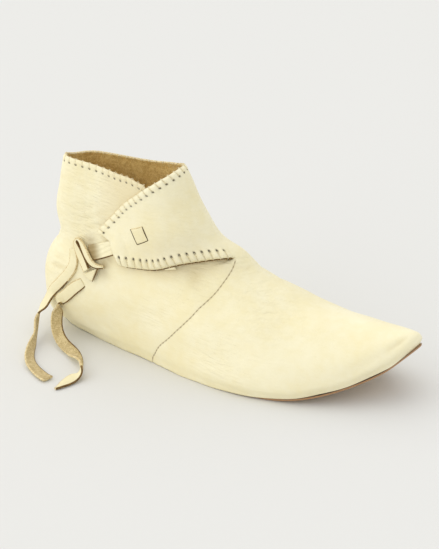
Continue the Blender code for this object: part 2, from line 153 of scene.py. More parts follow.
@dataclass(frozen=True)
class FootForm:
    """The outer face of the upper as a function of angle and level.

    The angle goes round the shoe in degrees: 0 at the heel, 180 at the toe, positive on the
    outer side. The level rises from 0 at the feather line to 1 at the collar.
    """
    length: float = 0.285
    ball_width: float = 0.095
    collar_height: float = 0.135
    toe_spring: float = 0.033
    spring_from: float = 0.67
    tip_curl: float = 0.0025
    curl_from: float = 0.90
    sole_thickness: float = 0.0026
    gap: float = 0.0003
    stations: tuple[float, ...] = (0.12, 0.40, 0.67, 0.90)
    sag_shape: float = 6.75
    short_step: float = 0.002

    @cached_property
    def table(self) -> Array:
        """The rings in metres, with the feather line a gap above the top of the sole.

        Returns:
            One row for each ring.
        """
        units = [self.length] * 2 + [self.collar_height] * 3 + [self.ball_width] * 9
        table = np.array(RINGS) * np.array(units) / 100
        table[0, 2:4] += self.sole_thickness + self.gap
        return table

    @cached_property
    def solve(self) -> Array:
        """Turns half widths at the stations into the shares of four sines."""
        angles = np.arccos(1 - 2 * np.array(self.stations))
        return np.linalg.inv(np.sin(np.outer(angles, np.arange(1, 5))))

    @cached_property
    def origin(self) -> Array:
        """The floor point under the middle of the upper's box, from the heel end.

        Returns:
            The point in metres.
        """
        angles, levels = np.meshgrid(np.arange(0, FULL_TURN, 2), np.linspace(0, 1, 60))
        points = self.from_heel(angles, levels).reshape(-1, 3)
        middle = (points.min(0) + points.max(0)) / 2
        return np.array([middle[0], middle[1], 0.0])

    def spring(self, x: Array) -> Array:
        """Lift of the sole: squares of the way past the ball and of the way past the toes.

        Args:
            x: Places along the shoe from the heel end.

        Returns:
            Heights in metres.
        """
        share = np.asarray(x) / self.length
        past_ball = np.clip((share - self.spring_from) / (1 - self.spring_from), 0.0, None)
        past_toes = np.clip((share - self.curl_from) / (1 - self.curl_from), 0.0, None)
        return self.toe_spring * past_ball**2 + self.tip_curl * past_toes**2

    def half_width(self, stations: Array, angle: Array) -> Array:
        """Half width of a ring: a sum of four sines of the angle through its stations."""
        waves = np.sin(np.abs(angle)[..., None] * np.arange(1, 5))
        return (stations @ self.solve.T * waves).sum(-1)

    def from_heel(self, angle_deg: Array, level: Array) -> Array:
        """Point of the form, measured from the heel end.

        The ring at the level comes from the table. Its length follows (1 - cos angle) / 2,
        its width the sines of the angle, and its height its two ends, its sag and the spring.

        Args:
            angle_deg: Angle round the shoe in degrees.
            level: Level from feather line to collar.

        Returns:
            Points in the last axis, in metres.
        """
        angle_deg, level = np.broadcast_arrays(np.asarray(angle_deg, float), np.asarray(level, float))
        angle = np.radians((angle_deg + 180) % FULL_TURN - 180)
        ring = through_rows(self.table, level)
        back, front, back_z, front_z, sag = (ring[..., k] for k in range(5))
        along = (1 - np.cos(angle)) / 2
        outer = -self.half_width(ring[..., 5:9], angle)
        inner = self.half_width(ring[..., 9:13], angle)
        x = back + (front - back) * along
        y = np.where(angle >= 0, outer, inner) + ring[..., 13] * along**2
        dip = sag * self.sag_shape * along**2 * (1 - along)
        z = back_z + (front_z - back_z) * along - dip + self.spring(x)
        return np.stack([x, y, z], -1)

    def point(self, angle: Array, level: Array) -> Array:
        """Point of the form in the frame of the part."""
        return self.from_heel(angle, level) - self.origin

    def normal(self, angle: Array, level: Array) -> Array:
        """Outward direction: the cross product of a short step round the foot and one up it.

        Args:
            angle: Angles round the shoe in degrees.
            level: Levels.

        Returns:
            Vectors of length one.
        """
        angle = np.asarray(angle, float)
        level = np.asarray(level, float)
        turn = self.short_step * FULL_TURN / 2
        low = np.clip(level - self.short_step, 0.0, 1.0)
        high = np.clip(level + self.short_step, 0.0, 1.0)
        around = self.from_heel(angle + turn, level) - self.from_heel(angle - turn, level)
        upward = self.from_heel(angle, high) - self.from_heel(angle, low)
        return unit(np.cross(around, upward))

    def lifted(self, angle: Array, level: Array, lift: Array) -> Array:
        """A point at a height above the form."""
        return self.point(angle, level) + self.normal(angle, level) * np.asarray(lift)[..., None]


FORM = FootForm()


class Value:
    """A number socket of a material, whose operators add Math nodes."""

    def __init__(self, graph: "Graph", socket: Socket) -> None:
        """Keeps the socket and the graph that it belongs to."""
        self.graph = graph
        self.socket = socket

    def __add__(self, other: "Value | float") -> "Value":
        """Sum."""
        return self.graph.math("ADD", self, other)

    __radd__ = __add__

    def __sub__(self, other: "Value | float") -> "Value":
        """Difference."""
        return self.graph.math("SUBTRACT", self, other)

    def __rsub__(self, other: float) -> "Value":
        """Difference from a number."""
        return self.graph.math("SUBTRACT", other, self)

    def __mul__(self, other: "Value | float") -> "Value":
        """Product."""
        return self.graph.math("MULTIPLY", self, other)

    __rmul__ = __mul__

    def __truediv__(self, other: "Value | float") -> "Value":
        """Quotient."""
        return self.graph.math("DIVIDE", self, other)

    def __rtruediv__(self, other: float) -> "Value":
        """Quotient of a number by the value."""
        return self.graph.math("DIVIDE", other, self)

    def __rpow__(self, base: float) -> "Value":
        """A number to the power of the value."""
        return self.graph.math("POWER", base, self)

    def __abs__(self) -> "Value":
        """Size without the sign."""
        return self.graph.math("ABSOLUTE", self)

    def fraction(self) -> "Value":
        """What is left past the last whole number."""
        return self.graph.math("FRACT", self)

    def bell(self, width: float) -> "Value":
        """A bell curve of the value, 1 at zero."""
        share = self / width
        return math.e ** (share * share * -1.0)

    def ramp(self, low: float, high: float) -> "Value":
        """Smooth rise from 0 at low to 1 at high.

        Args:
            low: Where the rise starts.
            high: Where it ends.

        Returns:
            The risen value.
        """
        node = self.graph.node(
            "ShaderNodeMapRange", {"interpolation_type": "SMOOTHSTEP"},
            {"Value": self, "From Min": low, "From Max": high},
        )
        return Value(self.graph, node.outputs["Result"])


class Graph:
    """The nodes of one material, ending in a Principled shader."""

    def __init__(self, name: str) -> None:
        """Makes the material with its shader and output.

        Args:
            name: Name of the material.
        """
        self.material = bpy.data.materials.new(name)
        self.material.use_nodes = True
        self.tree = self.material.node_tree
        self.tree.nodes.clear()
        self.shader = self.node("ShaderNodeBsdfPrincipled")
        self.node("ShaderNodeOutputMaterial", {}, {"Surface": self.shader.outputs["BSDF"]})

    def node(self, kind: str, settings: dict | None = None, inputs: dict | None = None) -> bpy.types.Node:
        """Adds a node.

        Args:
            kind: Node type.
            settings: Properties of the node, set first.
            inputs: Values or links of its sockets, by socket name or number.

        Returns:
            The node.
        """
        made = self.tree.nodes.new(kind)
        for name, setting in (settings or {}).items():
            setattr(made, name, setting)
        for name, value in (inputs or {}).items():
            self.feed(made.inputs[name], value)
        return made

    def feed(self, socket: Socket, value: object) -> None:
        """Links a value or socket to an input, or sets the input to a plain number or vector.

        Args:
            socket: The input.
            value: What it gets.
        """
        source = value.socket if isinstance(value, Value) else value
        if isinstance(source, Socket):
            self.tree.links.new(source, socket)
        else:
            socket.default_value = source

    def math(self, operation: str, *values: "Value | float") -> Value:
        """A Math node on up to three values."""
        node = self.node("ShaderNodeMath", {"operation": operation}, dict(enumerate(values)))
        return Value(self, node.outputs[0])

    def place(self, scale: Triple = (1, 1, 1), turn: Triple = (0, 0, 0)) -> Socket:
        """Object coordinates, turned and then stretched.

        Args:
            scale: Stretch of each axis.
            turn: Turn about each axis in degrees.

        Returns:
            The vector socket.
        """
        source = self.node("ShaderNodeTexCoord").outputs["Object"]
        angles = tuple(math.radians(angle) for angle in turn)
        turned = self.node("ShaderNodeMapping", {}, {"Vector": source, "Rotation": angles})
        stretched = self.node("ShaderNodeMapping", {}, {"Vector": turned.outputs[0], "Scale": scale})
        return stretched.outputs[0]

    def noise(self, vector: Socket, scale: float, detail: float = 2.0, distortion: float = 0.0) -> Value:
        """Soft noise from 0 to 1 on a vector.

        Args:
            vector: Coordinates.
            scale: Blotches in a metre.
            detail: Octaves of finer noise.
            distortion: How much the blotches are bent.

        Returns:
            The noise.
        """
        inputs = {"Vector": vector, "Scale": scale, "Detail": detail, "Distortion": distortion}
        return Value(self, self.node("ShaderNodeTexNoise", {}, inputs).outputs["Fac"])

    def cells(self, vector: Socket, scale: float) -> Value:
        """Distance to the middle of the nearest of many small cells.

        Args:
            vector: Coordinates.
            scale: Cells in a metre.

        Returns:
            The distance.
        """
        settings = {"feature": "SMOOTH_F1"}
        inputs = {"Vector": vector, "Scale": scale, "Smoothness": 0.35, "Randomness": 1.0}
        return Value(self, self.node("ShaderNodeTexVoronoi", settings, inputs).outputs["Distance"])

    def attribute(self, name: str) -> Value:
        """A number stored on the mesh."""
        return Value(self, self.node("ShaderNodeAttribute", {"attribute_name": name}).outputs["Fac"])

    def attribute_parts(self, name: str) -> tuple[Value, Value, Value]:
        """The three numbers of a vector stored on the mesh.

        Args:
            name: Name of the attribute.

        Returns:
            The numbers in order.
        """
        vector = self.node("ShaderNodeAttribute", {"attribute_name": name}).outputs["Vector"]
        parts = self.node("ShaderNodeSeparateXYZ", {}, {0: vector}).outputs
        return Value(self, parts[0]), Value(self, parts[1]), Value(self, parts[2])

    def mix(self, share: "Value | float", first: object, second: object) -> Socket:
        """Mixes two colours.

        Args:
            share: 0 for the first colour, 1 for the second.
            first: Colour or colour socket.
            second: Colour or colour socket.

        Returns:
            The colour socket.
        """
        colours = [(*c, 1.0) if isinstance(c, tuple) else c for c in (first, second)]
        node = self.node("ShaderNodeMix", {"data_type": "RGBA"}, {0: share, 6: colours[0], 7: colours[1]})
        return node.outputs[2]

    def bump(self, height_mm: Value) -> None:
        """Roughens the shader's normal by a height in millimetres."""
        inputs = {"Height": height_mm, "Distance": MM, "Strength": 1.0}
        self.feed(self.shader.inputs["Normal"], self.node("ShaderNodeBump", {}, inputs).outputs[0])

    def finish(self, colour: Socket, roughness: "Value | float", **constants: float) -> Material:
        """Feeds the shader and returns the material.

        Args:
            colour: Base colour socket.
            roughness: Roughness value or number.
            **constants: Other shader inputs, with underscores for spaces.

        Returns:
            The material.
        """
        self.feed(self.shader.inputs["Base Color"], colour)
        self.feed(self.shader.inputs["Roughness"], roughness)
        for name, value in constants.items():
            self.feed(self.shader.inputs[name.replace("_", " ")], value)
        return self.material


def srgb(red: int, green: int, blue: int) -> Colour:
    """A colour on the usual 0 to 255 scale, as linear light.

    Args:
        red: Red part.
        green: Green part.
        blue: Blue part.

    Returns:
        The colour as shares of full light.
    """
    shares = np.array([red, green, blue]) / 255
    linear = np.where(shares <= 0.04045, shares / 12.92, ((shares + 0.055) / 1.055) ** 2.4)
    return tuple(float(x) for x in linear)


class Marks(Enum):
    """What a leather's mesh carries besides its shape."""
    PLAIN = "plain"
    SHADED = "shaded"
    SEWN = "sewn"


@dataclass(frozen=True)
class GrainLeather:
    """Smooth cream hide: soft mottling, fine pebbled grain and creases."""
    name: str
    marks: Marks = Marks.PLAIN
    # Colours, and how strongly the painted shade and the painted shade in creases take theirs
    light: Colour = srgb(249, 241, 206)
    deep: Colour = srgb(244, 232, 185)
    # Painted shade in the troughs of creases and below the flap's lower edge
    fold: Colour = srgb(214, 192, 138)
    shade: Colour = srgb(142, 114, 54)
    # Own colour of the side seam's line, also used as painted shade along the stitch grooves
    seam: Colour = srgb(132, 102, 56)
    # Painted shade inside the stitch holes
    hole: Colour = srgb(50, 34, 15)
    shade_strength: float = 0.85
    crease_shade_strength: float = 0.42
    # Grain
    roughness: float = 0.52
    pebbles: float = 800.0
    pebble_mm: float = 0.09
    wrinkle_mm: float = 0.6
    plain_wrinkles: float = 0.3
    least_wrinkles: float = 0.16
    # Stitch holes, grooves and the seam with its beads
    pitch_mm: float = 5.4
    hole_depth_mm: float = 4.8
    hole_width_mm: float = 0.72
    hole_length_mm: float = 0.74
    hole_strength: float = 1.35
    groove_width_mm: float = 0.30
    seam_width: float = 0.00040
    seam_strength: float = 0.42
    bead_pitch: float = 0.0034
    bead_width: float = 0.22
    bead_strength: float = 0.45
    seam_dent_mm: float = 0.3
    hole_dent_mm: float = 0.6
    groove_dent_mm: float = 0.4

    def build(self) -> Material:
        """Makes the material.

        Colour goes between two creams by broad noise. Painted shade darkens it in shaded places, in the
        troughs of creases, below the flap's lower edge, in stitch holes and along stitch grooves, and the
        seam adds its own darker line. Bump adds pebbles and two sets of fine stretched wrinkles. Stitch
        holes, grooves and the seam are bell curves of the way from them.

        Returns:
            The material.
        """
        graph = Graph(self.name)
        place = graph.place()
        broad = graph.noise(place, 24.0, 3.0)
        mottle = graph.noise(place, 160.0, 4.0)
        speck = graph.noise(place, 1400.0, 2.0)
        tone = (broad * 0.65 + mottle * 0.35).ramp(0.26, 0.70)
        colour = graph.mix(tone, self.deep, self.light)
        pebble = graph.cells(place, self.pebbles)
        level_lines = graph.noise(graph.place((95, 95, 470), (10, -7, 0)), 1.0, 2.0, 0.35)
        cross_lines = graph.noise(graph.place((520, 210, 420), (20, 30, 35)), 1.0, 3.0, 0.5)
        wrinkle = (level_lines - 0.5) * 2.2 + (cross_lines - 0.5) * 0.7
        height = pebble * -self.pebble_mm + speck * 0.02 + mottle * 0.12
        if self.marks is not Marks.PLAIN:
            colour = graph.mix(graph.attribute("shade") * self.shade_strength, colour, self.shade)
        if self.marks is Marks.SEWN:
            wrinkled = graph.attribute("wrinkled")
            crease_and_flap_shade = graph.attribute("crease_and_flap_shade")
            apart, along, sewn = graph.attribute_parts("seam")
            phase, depth, groove_shades = graph.attribute_parts("sewing")
            line = apart.bell(self.seam_width) * sewn
            beads = ((along / self.bead_pitch).fraction() - 0.5).bell(self.bead_width)
            across = abs((phase + 0.5).fraction() - 0.5) * self.pitch_mm
            beyond = (depth - 1.0) * self.hole_depth_mm
            hole = across.bell(self.hole_width_mm) * beyond.bell(self.hole_length_mm)
            groove = across.bell(self.groove_width_mm) * (1.0 - depth.ramp(0.8, 1.0)) * groove_shades
            # Painted shade in crease troughs and below the flap's lower edge
            colour = graph.mix((crease_and_flap_shade * -1.0).ramp(0.1, 1.0) * self.crease_shade_strength, colour, self.fold)
            dark_line = line * (self.seam_strength + beads * self.bead_strength)
            colour = graph.mix(dark_line, colour, self.seam)
            # Painted shade along the stitch grooves, in the seam's colour
            colour = graph.mix(groove, colour, self.seam)
            # Painted shade inside the stitch holes
            colour = graph.mix(hole * self.hole_strength, colour, self.hole)
            least = self.least_wrinkles
            height = height + wrinkle * (least + wrinkled * (1.0 - least)) * self.wrinkle_mm
            height = height - line * self.seam_dent_mm - hole * self.hole_dent_mm
            height = height - groove * self.groove_dent_mm
        else:
            height = height + wrinkle * self.plain_wrinkles * self.wrinkle_mm
        graph.bump(height)
        rough = self.roughness + (mottle - 0.5) * 0.14 + (broad - 0.5) * 0.08
        return graph.finish(colour, rough, Specular_IOR_Level=0.42, Sheen_Weight=0.06)


@dataclass(frozen=True)
class Suede:
    """Flesh side of the hide: short nap in speckled tans."""
    name: str
    light: Colour
    deep: Colour
    nap_mm: float = 0.22

    def build(self) -> Material:
        """Makes the material: fine and coarse noise speckle two tans, and raise the nap.

        Returns:
            The material.
        """
        graph = Graph(self.name)
        place = graph.place()
        fine = graph.noise(place, 1700.0, 3.0)
        coarse = graph.noise(place, 420.0, 4.0, 0.4)
        broad = graph.noise(place, 60.0, 2.0)
        speckle = (fine * 0.5 + coarse * 0.35 + broad * 0.15).ramp(0.38, 0.62)
        graph.bump((fine + coarse * 0.8) * self.nap_mm)
        colour = graph.mix(speckle, self.deep, self.light)
        return graph.finish(colour, 0.95, Specular_IOR_Level=0.15, Sheen_Weight=0.25)


@dataclass(frozen=True)
class CutEdge:
    """Raw cut edge of the hide, with the fibres showing as fine streaks."""
    name: str
    light: Colour
    deep: Colour
    roughness: float = 0.8

    def build(self) -> Material:
        """Makes the material: noise mixes two tones and gives a light bump.

        Returns:
            The material.
        """
        graph = Graph(self.name)
        fibres = graph.noise(graph.place(), 900.0, 4.0)
        graph.bump(fibres * 0.12)
        colour = graph.mix(fibres.ramp(0.35, 0.65), self.deep, self.light)
        return graph.finish(colour, self.roughness, Specular_IOR_Level=0.3)


@dataclass(frozen=True)
class SoleLeather:
    """Firm brown leather, darker along the top of its edge and scuffed below."""
    name: str
    top: Colour = srgb(74, 50, 30)
    side: Colour = srgb(174, 134, 96)
    under: Colour = srgb(206, 180, 142)

    def build(self) -> Material:
        """Makes the material: the height on the edge sets the tone, noise the scuffs.

        Returns:
            The material.
        """
        graph = Graph(self.name)
        place = graph.place()
        rise = graph.attribute("rise")
        grain = graph.noise(place, 600.0, 4.0)
        scuff = graph.noise(graph.place((40, 90, 40)), 1.0, 5.0, 1.0)
        colour = graph.mix(rise.ramp(0.02, 0.16), self.under, self.side)
        colour = graph.mix((rise + grain * 0.2).ramp(0.76, 1.02), colour, self.top)
        colour = graph.mix(scuff.ramp(0.56, 0.74) * (1.0 - rise.ramp(0.0, 0.4)) * 0.5, colour, self.side)
        graph.bump(grain * 0.16)
        return graph.finish(colour, 0.62 + (scuff - 0.5) * 0.3, Specular_IOR_Level=0.4)


@dataclass(frozen=True)
class Thread:
    """Waxed sewing thread with a fine twist."""
    name: str = "sewing_thread"
    light: Colour = srgb(246, 236, 200)
    deep: Colour = srgb(228, 210, 164)

    def build(self) -> Material:
        """Makes the material: slanted bands of noise for the twist.

        Returns:
            The material.
        """
        graph = Graph(self.name)
        twist = graph.noise(graph.place((900, 900, 2600), (35, 20, 0)), 1.0, 2.0)
        graph.bump(twist * 0.1)
        return graph.finish(graph.mix(twist.ramp(0.35, 0.65), self.deep, self.light), 0.6)


@dataclass(frozen=True)
class Hole:
    """Painted shade: the dark inside of a stitch hole or slit."""
    name: str = "stitch_hole"
    light: Colour = srgb(92, 68, 34)
    deep: Colour = srgb(56, 40, 20)

    def build(self) -> Material:
        """Makes the material.

        Returns:
            The material.
        """
        graph = Graph(self.name)
        tone = graph.noise(graph.place(), 1200.0, 2.0)
        return graph.finish(graph.mix(tone, self.deep, self.light), 0.95, Specular_IOR_Level=0.05)


@dataclass(frozen=True)
class Finishes:
    """All finishes of the shoe, made once."""
    upper: Material
    hide: Material
    strap: Material
    lining: Material
    nap: Material
    edge: Material
    # Darker copy of the cut edge: painted shade
    thong_edge: Material
    sole: Material
    thread: Material
    hole: Material

    @classmethod
    def make(cls) -> "Finishes":
        """Builds every material.

        Returns:
            The finishes.
        """
        return cls(
            upper=GrainLeather("upper_grain", Marks.SEWN).build(),
            hide=GrainLeather("thong_grain", light=srgb(246, 236, 196), deep=srgb(239, 226, 178)).build(),
            strap=GrainLeather("strap_grain", Marks.SHADED).build(),
            lining=Suede("inside_suede", srgb(250, 222, 148), srgb(210, 173, 98)).build(),
            nap=Suede("thong_suede", srgb(218, 198, 148), srgb(178, 154, 102)).build(),
            edge=CutEdge("cut_edge", srgb(236, 220, 174), srgb(206, 180, 126)).build(),
            thong_edge=CutEdge("thong_edge", srgb(142, 110, 60), srgb(98, 72, 36)).build(),
            sole=SoleLeather("sole_brown").build(),
            thread=Thread().build(),
            hole=Hole().build(),
        )


def make_piece(
    name: str,
    points: Array,
    faces: list[Array],
    materials: list[Material],
    slots: Array | None = None,
    stored: dict[str, Array] | None = None,
) -> Object:
    """Puts a worked-out surface into a mesh piece that rides on the shoe.

    Args:
        name: Name of the piece.
        points: Vertices, one row each.
        faces: Arrays of vertex numbers, each with faces of one size as rows.
        materials: Material slots.
        slots: Slot of each face; all take the first slot if left out.
        stored: Numbers or vectors for each vertex, by attribute name.

    Returns:
        The object, at the origin.
    """
    mesh = bpy.data.meshes.new(name)
    mesh.from_pydata(points.tolist(), [], [row for group in faces for row in group.tolist()])
    for material in materials:
        mesh.materials.append(material)
    if slots is not None:
        mesh.polygons.foreach_set("material_index", np.asarray(slots, np.int32))
    for key, values in (stored or {}).items():
        vector = values.ndim == 2
        layer = mesh.attributes.new(key, "FLOAT_VECTOR" if vector else "FLOAT", "POINT")
        layer.data.foreach_set("vector" if vector else "value", values.astype(np.float32).ravel())
    mesh.shade_smooth()
    mesh.update()
    piece = bpy.data.objects.new(name, mesh)
    bpy.context.scene.collection.objects.link(piece)
    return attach(piece, BODY)


def thicken(piece: Object, thickness: float, rim_slot: int) -> Object:
    """Gives an open surface its leather thickness on the inner side, in the second slot.

    Args:
        piece: Mesh piece with one surface.
        thickness: Leather thickness.
        rim_slot: Material slot of the edge.

    Returns:
        The piece.
    """
    wall = piece.modifiers.new("thickness", "SOLIDIFY")
    wall.thickness = thickness
    wall.offset = -1.0
    wall.material_offset = 1
    wall.material_offset_rim = rim_slot
    return piece


def grid_quads(columns: int, rows: int) -> Array:
    """Quads of a grid of points that is stored column by column."""
    near = (np.arange(columns - 1)[:, None] * rows + np.arange(rows - 1)).ravel()
    return np.stack([near, near + 1, near + rows + 1, near + rows], -1)


def tube_quads(count: int, rings: int, sides: int) -> Array:
    """Quads round count tubes of the same size, whose points run ring by ring.

    Args:
        count: Number of tubes.
        rings: Rings of points in a tube.
        sides: Points in a ring.

    Returns:
        Rows of four point numbers.
    """
    ring, side = np.meshgrid(np.arange(rings - 1) * sides, np.arange(sides), indexing="ij")
    following = (side + 1) % sides
    corners = [ring + side, ring + following, ring + sides + following, ring + sides + side]
    one = np.stack(corners, -1).reshape(-1, 4)
    return (np.arange(count)[:, None, None] * rings * sides + one).reshape(-1, 4)


@dataclass(frozen=True)
class Fold:
    """A soft trough in the leather, drawn on the shoe.

    Places are winding angles and levels; a negative depth makes a ridge.
    """
    places: Places
    depth: float
    width: float
    lips: float = 0.4
    steepness: float = 1.3
    fade: float = 0.7
    end_share: float = 0.02
    reach_widths: float = 4.0
    steps: int = 90

    def line(self) -> Array:
        """Angles and levels close together along the fold."""
        return through_rows(np.array(self.places), np.linspace(0.0, 1.0, self.steps))

    def relief(self, points: Array, same_layer: Array) -> Array:
        """Height that the fold adds at points of the leather.

        Across the fold it is a bell curve less one twice as wide, so that lips rise beside the
        trough; along the fold it fades to both ends as a sine.

        Args:
            points: Points of the leather.
            same_layer: True where a point is on the layer that the fold is in.

        Returns:
            Heights in metres.
        """
        line = self.line()
        track = FORM.point(line[:, 0], line[:, 1])
        reach = self.reach_widths * self.width
        past_low = (points > track.min(0) - reach).all(-1)
        inside = past_low & (points < track.max(0) + reach).all(-1) & same_layer
        apart = np.linalg.norm(points[inside][:, None] - track, axis=-1)
        share = apart.argmin(1) / (len(track) - 1)
        across = apart.min(1) / self.width
        narrow, wide = bell(self.steepness * across), bell(self.steepness / 2 * across)
        trough = (1 + self.lips) * narrow - self.lips * wide
        height = np.zeros(points.shape[:-1])
        within = np.clip(share, self.end_share, 1 - self.end_share)
        height[inside] = -self.depth * trough * np.sin(np.pi * within) ** self.fade
        return height


@dataclass(frozen=True)
class Swell:
    """A soft bulge of the leather, or a hollow where its height is negative."""
    winding: float
    level: float
    height: float
    reach: float

    def relief(self, points: Array, same_layer: Array) -> Array:
        """Height that the swell adds at points: a bell curve of the distance from its middle.

        Args:
            points: Points of the leather.
            same_layer: True where a point is on the layer that the swell is in.

        Returns:
            Heights in metres.
        """
        apart = np.linalg.norm(points - FORM.point(np.array(self.winding), np.array(self.level)), axis=-1)
        return self.height * bell(apart / self.reach) * same_layer


@dataclass(frozen=True)
class Spot:
    """A round place on the leather, wrinkled or shaded as a bell of the way from its middle."""
    winding: float
    level: float
    reach: float
    strength: float


FOLDS = (
    # Outer side of the heel and quarter
    Fold(((53.5, 0.214), (58.8, 0.171), (64.2, 0.107)), 0.3 * MM, 4.5 * MM),
    Fold(((26, 0.446), (37.5, 0.468), (47, 0.469)), 0.8 * MM, 3.5 * MM),
    Fold(((28, 0.508), (38, 0.531), (46, 0.529)), 0.6 * MM, 3.5 * MM),
    Fold(((49, 0.871), (63, 0.873), (78, 0.900)), 0.45 * MM, 3.5 * MM),
    Fold(((48, 0.838), (64.5, 0.843), (81, 0.879)), 0.5 * MM, 3.5 * MM),
    Fold(((53, 0.807), (67, 0.810), (79, 0.839)), 0.5 * MM, 3.5 * MM),
    Fold(((80, 0.351), (84, 0.352), (90, 0.380)), 0.3 * MM, 3.0 * MM),
    # Below the flap and beside the seam
    Fold(((135, 0.688), (126, 0.626), (116, 0.556)), 0.45 * MM, 6.0 * MM),
    Fold(((127, 0.621), (130, 0.613), (138, 0.629)), 0.35 * MM, 3.0 * MM),
    Fold(((121.5, 0.584), (125.5, 0.578), (133.5, 0.595)), 0.35 * MM, 3.0 * MM),
    Fold(((93, 0.234), (100, 0.245), (108, 0.261)), 0.35 * MM, 3.0 * MM),
    Fold(((94.5, 0.196), (100, 0.204), (107.5, 0.228)), 0.3 * MM, 3.0 * MM),
    # Over the instep
    Fold(((153, 0.569), (158, 0.551), (174.5, 0.547)), 0.4 * MM, 3.2 * MM),
    Fold(((147, 0.530), (151.5, 0.515), (165, 0.517)), 0.4 * MM, 3.2 * MM),
    Fold(((136, 0.485), (142, 0.473), (152, 0.478)), 0.35 * MM, 3.2 * MM),
    Fold(((170, 0.668), (178, 0.655), (188, 0.66)), 0.6 * MM, 3.0 * MM),
    # Along the toe
    Fold(((138, 0.083), (148, 0.124), (161, 0.135), (175, 0.166)), -0.8 * MM, 4.0 * MM),
    Fold(((155, 0.186), (163, 0.198), (174, 0.208)), 0.5 * MM, 3.0 * MM),
    Fold(((-138, 0.083), (-148, 0.124), (-161, 0.135), (-175, 0.166)), -0.8 * MM, 4.0 * MM),
    # On the flap
    Fold(((-219, 0.897), (-210, 0.905), (-199.5, 0.902)), 0.5 * MM, 4.5 * MM),
    # Round the back of the heel and on the inner side
    Fold(((-34, 0.655), (-4, 0.640), (30, 0.652)), 0.7 * MM, 4.0 * MM),
    Fold(((-40, 0.860), (-62, 0.845), (-88, 0.870)), 0.6 * MM, 4.0 * MM),
    Fold(((-44, 0.800), (-70, 0.790), (-98, 0.805)), 0.6 * MM, 4.0 * MM),
    Fold(((-60, 0.700), (-84, 0.670), (-112, 0.660)), 0.8 * MM, 5.0 * MM),
    Fold(((-118, 0.600), (-138, 0.585), (-160, 0.600)), 0.6 * MM, 4.0 * MM),
    Fold(((-112, 0.520), (-130, 0.500), (-150, 0.520)), 0.5 * MM, 4.0 * MM),
    Fold(((-70, 0.250), (-90, 0.265), (-108, 0.240)), 0.5 * MM, 4.0 * MM),
)

SWELLS = (
    # Over the instep below the throat, and hollow beside it
    Swell(-170, 0.700, 4.4 * MM, 0.014),
    Swell(172, 0.655, -1.2 * MM, 0.010),
    # Under the flap's lower edge
    Swell(122, 0.640, -1.6 * MM, 0.015),
    Swell(140, 0.680, -1.0 * MM, 0.012),
    # Flap end over the strap
    Swell(-280, 0.715, 2.2 * MM, 0.011),
    # Along the flap
    Swell(-226, 0.860, 0.9 * MM, 0.018),
    Swell(-246, 0.740, -0.8 * MM, 0.014),
    Swell(-200, 0.800, -0.7 * MM, 0.016),
    # Quarter above the knot, and heel
    Swell(58, 0.780, -0.9 * MM, 0.014),
    Swell(76, 0.900, 0.8 * MM, 0.016),
    Swell(30, 0.560, -0.8 * MM, 0.014),
    Swell(22, 0.300, 0.8 * MM, 0.020),
)

# Where fine wrinkles gather
WORN_SPOTS = (
    Spot(72, 0.945, 0.024, 1.0),
    Spot(66, 0.850, 0.022, 1.0),
    Spot(38, 0.840, 0.018, 0.6),
    Spot(5, 0.680, 0.022, 0.5),
    Spot(36, 0.490, 0.018, 0.5),
    Spot(126, 0.610, 0.022, 0.7),
    Spot(155, 0.530, 0.030, 0.8),
    Spot(100, 0.230, 0.022, 0.8),
    Spot(84, 0.355, 0.014, 0.5),
    Spot(176, 0.670, 0.014, 0.8),
    Spot(-215, 0.860, 0.026, 0.35),
    Spot(-165, 0.820, 0.022, 0.4),
    Spot(-62, 0.860, 0.028, 0.9),
    Spot(-92, 0.680, 0.026, 0.7),
    Spot(-140, 0.560, 0.028, 0.8),
)

# Where the light is kept off
SHADED_SPOTS = (
    # Under strap and knot
    Spot(63.6, 0.745, 0.0045, 0.45),
    Spot(72.1, 0.607, 0.0048, 0.70),
    Spot(68.8, 0.533, 0.0050, 0.42),
    Spot(76.5, 0.652, 0.0042, 0.55),
    # Along the flap's lower edge
    Spot(-252, 0.735, 0.012, 0.15),
    Spot(-238, 0.750, 0.014, 0.21),
    Spot(-222, 0.758, 0.014, 0.18),
)

# The side seam from the sole to the throat, as angles and levels
SEAM = (
    (72.2, 0.004), (77.5, 0.153), (81.8, 0.225), (87.5, 0.290), (94.8, 0.350), (102.5, 0.408),
    (111.0, 0.467), (120.8, 0.522), (131.5, 0.572), (143.2, 0.617), (156.2, 0.655), (172.8, 0.692),
)

# Levels of the flap's lower and upper edge, from the throat to the flap's end
FLAP_EDGES = ((0.70, 1.0), (0.719, 1.0), (0.703, 0.982), (0.650, 0.922), (0.624, 0.800))

# Angle at which the sole's edge begins to show, and the angle over which it comes out
SOLE_SHOWS_FROM = 92.0
SOLE_SHOWS_OVER = 34.0


def sole_shows(angle: Array) -> Array:
    """How much the sole's edge shows: 0 round heel and waist, 1 along ball and toe."""
    return smoothstep((np.abs((angle + 180) % FULL_TURN - 180) - SOLE_SHOWS_FROM) / SOLE_SHOWS_OVER)


@dataclass(frozen=True)
class SewnEdge:
    """A whip-stitched edge of the upper, along one row from a first to a last column.

    Inward is the step to the next row. The slant is how far a stitch runs along the edge for
    its depth. Hole depth and pull are given for each column.
    """
    first: int
    last: int
    row: int
    inward: int
    pitch: float
    slant: float
    hole_depth: Array
    pull: Array


